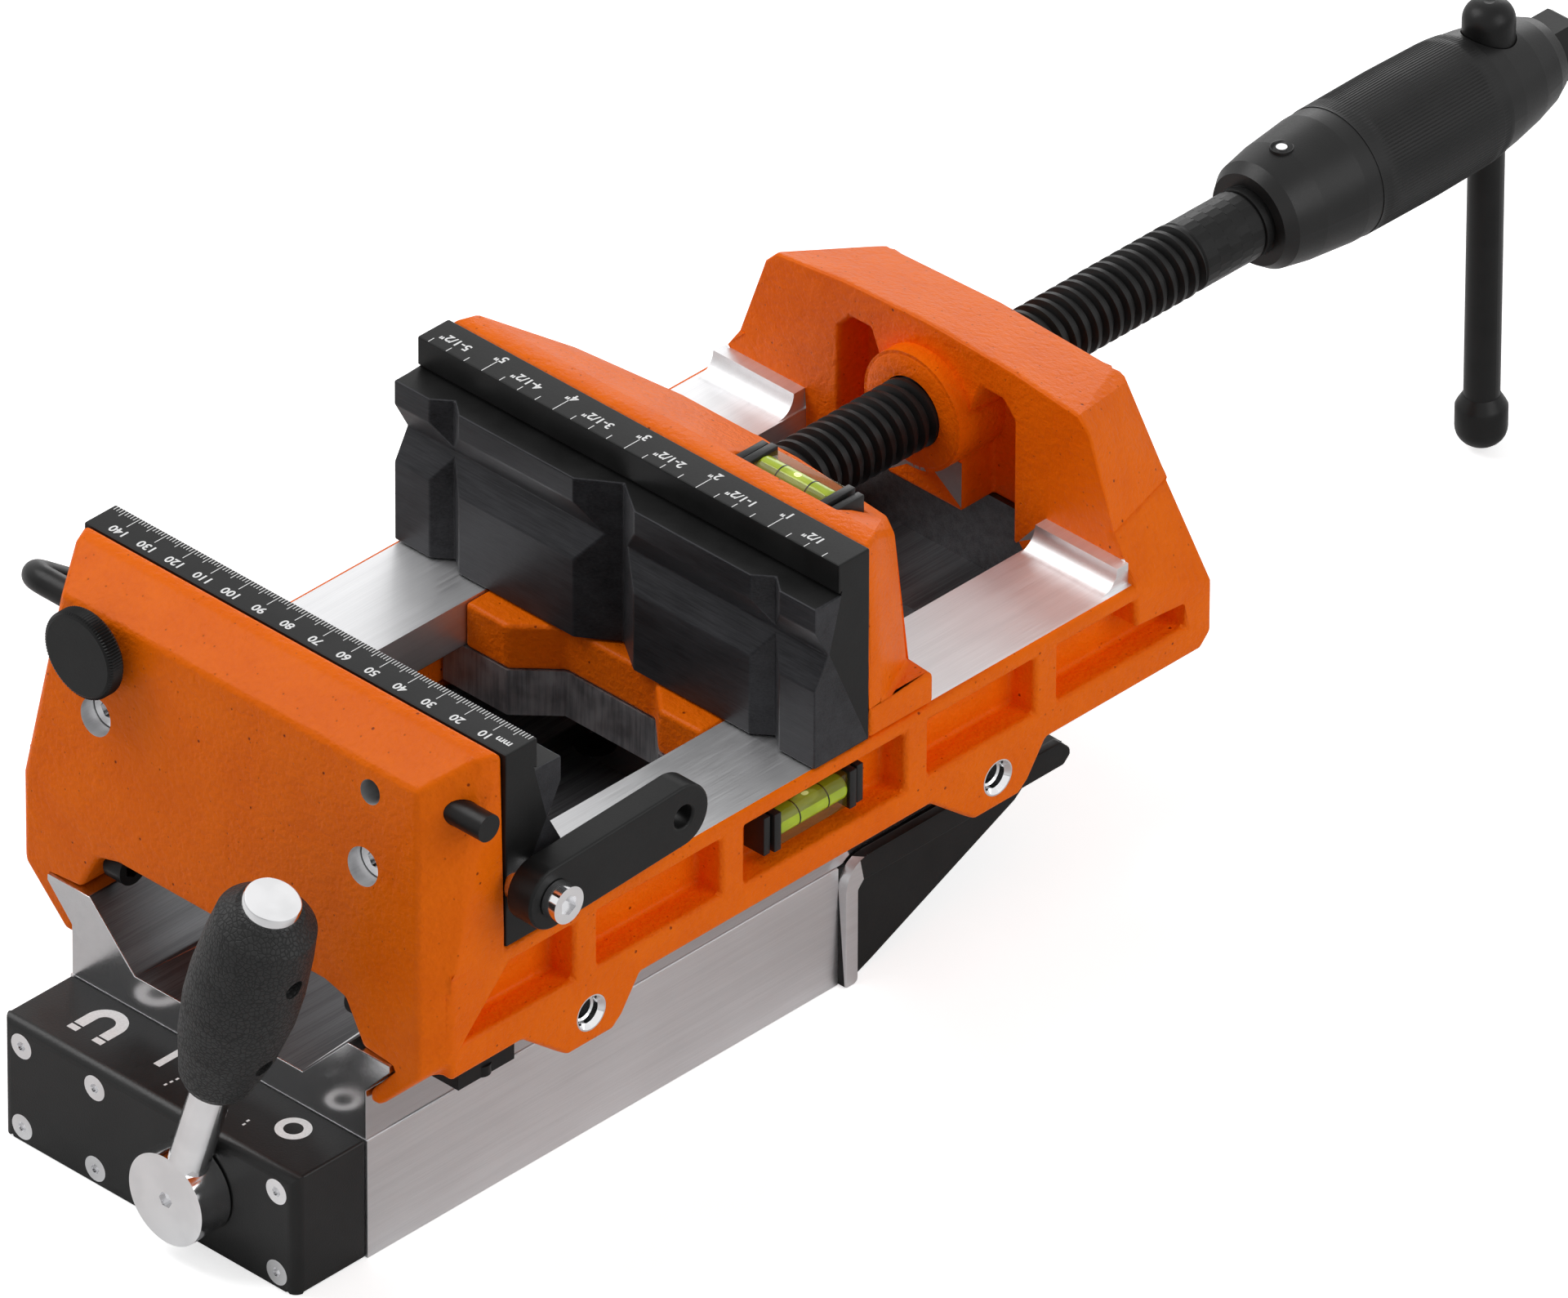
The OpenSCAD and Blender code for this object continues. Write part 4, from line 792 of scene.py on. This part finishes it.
def add_sleeve_pin_seat():
    """The raised rim around the pin that holds the sleeve."""
    bm = bmesh.new()
    y = middle("sleeve_pin").y
    top = sleeve_radius(y) + SPINDLE_Z
    add_turned(bm, [(1.5, top - 1), (2.5, top - 0.5), (2.9, top + 0.25), (3.2, top + 0.2), (3.3, top - 1),
                    (1.5, top - 1)], (0, y, 0), "Z", 48)
    piece_from(bm, "sleeve_pin_seat", (PLASTIC,), "spindle", sharpest=50)


def add_bar_knobs():
    """The two turned ends of the tommy bar."""
    bm = bmesh.new()
    low, high = node_box("bar_knobs")
    radius, bar = high.x, node_box("tommy_bar")[1].x + 0.05
    corner, centre = 5.6, (0, BAR_Y, 0)
    arc = [(radius - corner + corner * math.sin(t), corner * (1 - math.cos(t)))
           for t in (math.pi / 2 * i / 8 for i in range(9))]
    dome = [(0, -0.35), (1.6, -0.3)] + arc
    dome = [(r, max(depth, 0) + (0.3 if r < radius - corner else 0)) for r, depth in dome]
    top = [(r, high.z - depth) for r, depth in dome]
    add_turned(bm, top + [(radius, high.z - 12.3), (bar, high.z - 14.1), (0, high.z - 14.1)], centre, "Z")
    bottom = [(r, low.z + depth) for r, depth in dome]
    add_turned(bm, bottom + [(radius, low.z + 11.6), (radius - 0.5, low.z + 12.6), (bar, low.z + 15.4),
                             (0, low.z + 15.4)], centre, "Z")
    piece_from(bm, "bar_end_knobs", (THREAD_BLACK,), "bar", ("bar_knobs",), 40)


# Lever, stops and knob

def add_lever_end():
    """The stepped disc that closes the end of the grip, drawn along the lever's length."""
    bm = bmesh.new()
    add_turned(bm, [(0, 111.7), (6.7, 111.7), (7.3, 111.5), (7.6, 110.9), (7.6, 107.2), (8.4, 106.6),
                    (8.4, 104), (0, 104)], (0, 0, 0), "Z")
    tilt = Matrix.Translation((LEVER_X, LEVER_Y, LEVER_Z)) @ Matrix.Rotation(LEVER_TILT, 4, "Y")
    bmesh.ops.transform(bm, matrix=tilt, verts=bm.verts)
    piece_from(bm, "lever_end_disc", (CHROME,), "lever", sharpest=30)


def add_clamp_knob():
    """The knurled head of the clamp knob, its collar and its screw."""
    bm = bmesh.new()
    low, high = node_box("clamp_knob")
    radius, front, back = (high.x - low.x) / 2, low.y, low.y + 5
    centre, columns, knurl_depth = ((low.x + high.x) / 2, 0, (low.z + high.z) / 2), 180, 0.45
    collar_r, collar_end, screw_r = 5.5, back + 2.8, 3.25
    outline = [(0, front), (radius - 1.4, front), (radius - 0.5, front + 0.35), (radius, front + 0.9),
               (radius, back - 0.7), (radius - 0.7, back), (collar_r, back), (collar_r, collar_end),
               (screw_r, collar_end), (screw_r, high.y), (0, high.y)]
    add_turned(bm, outline, centre, steps=columns)
    press_grooves(bm, centre, columns, radius, knurl_depth,
                  lambda y, distance: distance > radius - 0.6)
    piece_from(bm, "knurled_clamp_knob", (OXIDE,), "knob", ("clamp_knob",), 30)


def add_stop_arm():
    bm = round_edges(copy_of("stop_arm"), 0.8, segments=3, sharpest=40, shortest=0.3)
    piece = piece_from(bm, "stop_arm_bar", (OXIDE,), "arm", ("stop_arm",))
    flatten_shading(piece)


# Spirit levels, drawn along X with their back at z = 0

HOUSING_HALF = 12.4
VIAL_R, VIAL_Z = 3.6, 4
RING_X, RING_HALF = 5.2, 0.2
# Start, end, half width, bottom and top of each end's inner flange, outer flange and the neck between them
LEVEL_END_BOXES = ((HOUSING_HALF, 14.9, 5.7, 0.0, 7.9), (15.7, 18.0, 5.7, 0.0, 7.2),
                   (14.0, 17.0, 4.6, 0.4, 5.6))


def level_ends():
    """The two black ends, and the rails that join them along the housing's foot."""
    bm = bmesh.new()
    for side in (-1, 1):
        for x0, x1, half, low, high in LEVEL_END_BOXES:
            add_box(bm, (min(side * x0, side * x1), -half, low), (max(side * x0, side * x1), half, high))
    for y in (-5.45, 5.45):
        add_box(bm, (-13, y - 0.25, 0), (13, y + 0.25, 1.6))
    return round_edges(bm, 0.25, segments=2, shortest=1.0)


def level_housing():
    bm = bmesh.new()
    add_box(bm, (-HOUSING_HALF, -5.2, 0.2), (HOUSING_HALF, 5.2, 7.2))
    return round_edges(bm, 0.5, segments=2, shortest=1.0)


def level_liquid():
    """The liquid's tube, with flattened domes for ends."""
    bm = bmesh.new()
    half, flatness = 11.2, 0.6
    angles = [math.pi / 2 * i / 6 for i in range(7)]
    end = [(VIAL_R * math.sin(t), VIAL_R * flatness * math.cos(t)) for t in angles]
    outline = [(r, -half - x) for r, x in end] + [(r, half + x) for r, x in reversed(end)]
    add_turned(bm, outline, (0, 0, VIAL_Z), "X", 48)
    return bm


def level_bubble(up_side):
    """The bubble, which rests at the tube's upper side."""
    bm = bmesh.new()
    bmesh.ops.create_uvsphere(bm, u_segments=32, v_segments=20, radius=1)
    bmesh.ops.scale(bm, vec=(4.4, 2.0, 1.6) if up_side == "Z" else (4.4, 1.6, 2.0), verts=bm.verts)
    shift = (0, 0, VIAL_Z + 2.05) if up_side == "Z" else (0, 2.05, VIAL_Z)
    bmesh.ops.translate(bm, vec=shift, verts=bm.verts)
    return bm


def level_rings():
    """The two thin rings that the bubble is read against."""
    bm = bmesh.new()
    inner, outer = VIAL_R + 0.02, VIAL_R + 0.08
    for x in (-RING_X, RING_X):
        x0, x1 = x - RING_HALF, x + RING_HALF
        add_turned(bm, [(inner, x0), (outer, x0), (outer, x1), (inner, x1), (inner, x0)],
                   (0, 0, VIAL_Z), "X", 48)
    return bm


def add_level(prefix, place, up_side):
    """A whole spirit level, moved to its place. Its bubble rests at up_side."""
    frame_node, vial_node = f"{prefix}_frame", f"{prefix}_vial"
    parts = (("ends", level_ends(), PLASTIC, "black_plastic", (frame_node,)),
             ("housing", level_housing(), AMBER, "amber_plastic", (frame_node,)),
             ("liquid", level_liquid(), VIAL, "green_vial", (vial_node,)),
             ("bubble", level_bubble(up_side), BUBBLE, "green_vial", ()),
             ("rings", level_rings(), PLASTIC, "black_plastic", ()))
    for part, bm, finish, slot, replaced in parts:
        bmesh.ops.transform(bm, matrix=place, verts=bm.verts)
        piece_from(bm, f"{prefix}_{part}", (finish,), BODY_OF[frame_node], replaced)


# End cap, its marks and the tail bracket

CAP_TOP = node_box("end_cap")[1].z
MARK_LOW, MARK_HIGH = CAP_TOP - 0.05, CAP_TOP + 0.04


def add_cap():
    bm = round_edges(copy_of("end_cap"), 0.8, segments=3, sharpest=40, shortest=4.0)
    piece = piece_from(bm, "end_cap_moulding", (CAP_PLASTIC,), "base", ("end_cap",))
    flatten_shading(piece)


def mark_section(inner, outer):
    """The section of a printed stroke, as points of radius and height."""
    return [(inner, MARK_LOW), (outer, MARK_LOW), (outer, MARK_HIGH), (inner, MARK_HIGH)]


def add_cap_marks():
    """A magnet for on, a ring for off, and the dotted path between them."""
    bm = bmesh.new()
    ring_in, ring_out, ring_centre = 2.6, 4.8, (35.8, -95, 0)
    add_turned(bm, mark_section(ring_in, ring_out) + [(ring_in, MARK_LOW)], ring_centre, "Z", 64)
    bend, inner, outer = Vector((-31, -95.6, 0)), 2.8, 6.1
    section = [bm.verts.new(bend + Vector((radius, 0, z))) for radius, z in mark_section(inner, outer)]
    face = bm.faces.new(section)
    bmesh.ops.spin(bm, geom=[face], cent=bend, axis=(0, 0, 1), angle=math.pi, steps=24)
    leg_end, pole_start, pole_end = bend.y - 4.9, bend.y - 5.6, bend.y - 7.6
    for side in (-1, 1):
        x0, x1 = sorted((bend.x + side * inner, bend.x + side * outer))
        add_box(bm, (x0, leg_end, MARK_LOW), (x1, bend.y, MARK_HIGH))
        add_box(bm, (x0, pole_end, MARK_LOW), (x1, pole_start, MARK_HIGH))
    add_box(bm, (-9.7, -99.5, MARK_LOW), (-7.5, -90.0, MARK_HIGH))
    dots = ((-0.9, -103.9), (-0.7, -102.0), (-0.5, -100.1), (25.6, -102.4), (25.2, -100.6))
    for x, y in dots:
        add_box(bm, (x - 0.3, y - 0.5, MARK_LOW), (x + 0.3, y + 0.5, MARK_HIGH))
    close_up(bm)
    piece_from(bm, "cap_marks", (WHITE,), "base")


def add_tail_bracket():
    """The folded black bracket, with the bare steel edge of its side plates."""
    bm = round_edges(copy_of("tail_bracket"), 0.6, segments=2, sharpest=40, shortest=2.5)
    housing_side, rim_end_y = 53.0, 89.5
    for face in bm.faces:
        place = face.calc_center_median()
        face.material_index = 1 if abs(place.x) > housing_side and place.y < rim_end_y else 0
    piece = piece_from(bm, "folded_tail_bracket", (OXIDE, SIDE_STEEL), "base",
                       ("tail_bracket",))
    flatten_shading(piece)


add_castings()
add_boss_face()
add_bushes()
add_guide_plate()
add_jaw_plate("fixed_jaw_plate", "fixed_jaw_prism_plate", FIXED_PLATE_BACK, 1)
add_jaw_plate("moving_jaw_plate", "moving_jaw_prism_plate", MOVING_PLATE_BACK, -1)
add_millimetre_scale()
add_inch_scale()
add_spindle_thread()
add_spindle_collar()
add_sleeve_ribs()
add_sleeve_pin_seat()
add_bar_knobs()
add_lever_end()
add_clamp_knob()
add_stop_arm()
add_level("top_level", Matrix.Translation((36, 86, 140)), "Z")
add_level("side_level", Matrix(((0, 0, 1, 66), (1, 0, 0, 54), (0, 1, 0, 78.4), (0, 0, 0, 1))), "Y")
add_cap()
add_cap_marks()
add_tail_bracket()


# Floor, lights and world

def area_light(name, towards, distance, size, power, directions):
    """A square lamp, placed by the camera's directions: towards is its (right, up, back) share."""
    data = bpy.data.lights.new(name, "AREA")
    data.energy, data.size = power, size
    lamp = bpy.data.objects.new(name, data)
    aim = Vector((0, 0.06, 0.07))
    right, up, back = directions
    offset = (right * towards[0] + up * towards[1] + back * towards[2]).normalized() * distance
    lamp.location = aim + offset
    lamp.rotation_euler = offset.to_track_quat("Z", "Y").to_euler()
    bpy.context.scene.collection.objects.link(lamp)


def add_world():
    """A sky that is white to look at, through clear pieces and in reflections, and lights dimly."""
    white_level, light_level = 1.0, 0.3
    world = bpy.data.worlds.new("studio")
    bpy.context.scene.world = world
    world.use_nodes = True
    tree = world.node_tree
    background = tree.nodes["Background"]
    path = tree.nodes.new("ShaderNodeLightPath")
    shown = path.outputs["Is Camera Ray"]
    for ray in ("Is Transmission Ray", "Is Glossy Ray"):
        either = tree.nodes.new("ShaderNodeMath")
        either.operation = "MAXIMUM"
        tree.links.new(shown, either.inputs[0])
        tree.links.new(path.outputs[ray], either.inputs[1])
        shown = either.outputs[0]
    level = tree.nodes.new("ShaderNodeMapRange")
    level.inputs["To Min"].default_value = light_level
    level.inputs["To Max"].default_value = white_level
    tree.links.new(shown, level.inputs["Value"])
    tree.links.new(level.outputs["Result"], background.inputs["Strength"])
    background.inputs["Color"].default_value = (1, 1, 1, 1)


def add_floor():
    """A pale floor that glows to the camera alone, so that it looks white and keeps the shadow."""
    half_size, drop, glow = 6.0, 0.0002, 0.62
    bm = bmesh.new()
    bmesh.ops.create_grid(bm, x_segments=1, y_segments=1, size=half_size)
    mesh = bpy.data.meshes.new("floor")
    bm.to_mesh(mesh)
    bm.free()
    paper = Shader("floor_paper", Roughness=0.9, Specular_IOR_Level=0.0, Emission_Strength=1.0)
    grain = paper.noise(40, 2.0)
    seen = paper.node("ShaderNodeLightPath", {}, {}, "Is Camera Ray")
    paper.feed("Base Color", paper.mix(grain.steps(0.3, 0.7), (0.90,) * 3, (0.93,) * 3))
    paper.feed("Emission Color", paper.mix(seen, (0.0,) * 3, (glow,) * 3))
    mesh.materials.append(paper.material)
    floor = bpy.data.objects.new("floor", mesh)
    floor.location.z = -drop
    bpy.context.scene.collection.objects.link(floor)


camera_directions = add_camera()
add_world()
add_floor()
area_light("key_lamp", (-0.75, 1.0, 0.35), 1.5, 0.9, 11, camera_directions)
area_light("fill_lamp", (1.0, 0.25, 0.8), 1.8, 1.2, 10, camera_directions)
area_light("back_lamp", (0.3, 1.0, -0.9), 1.5, 0.8, 3.5, camera_directions)

bpy.context.scene.view_settings.view_transform = "Standard"
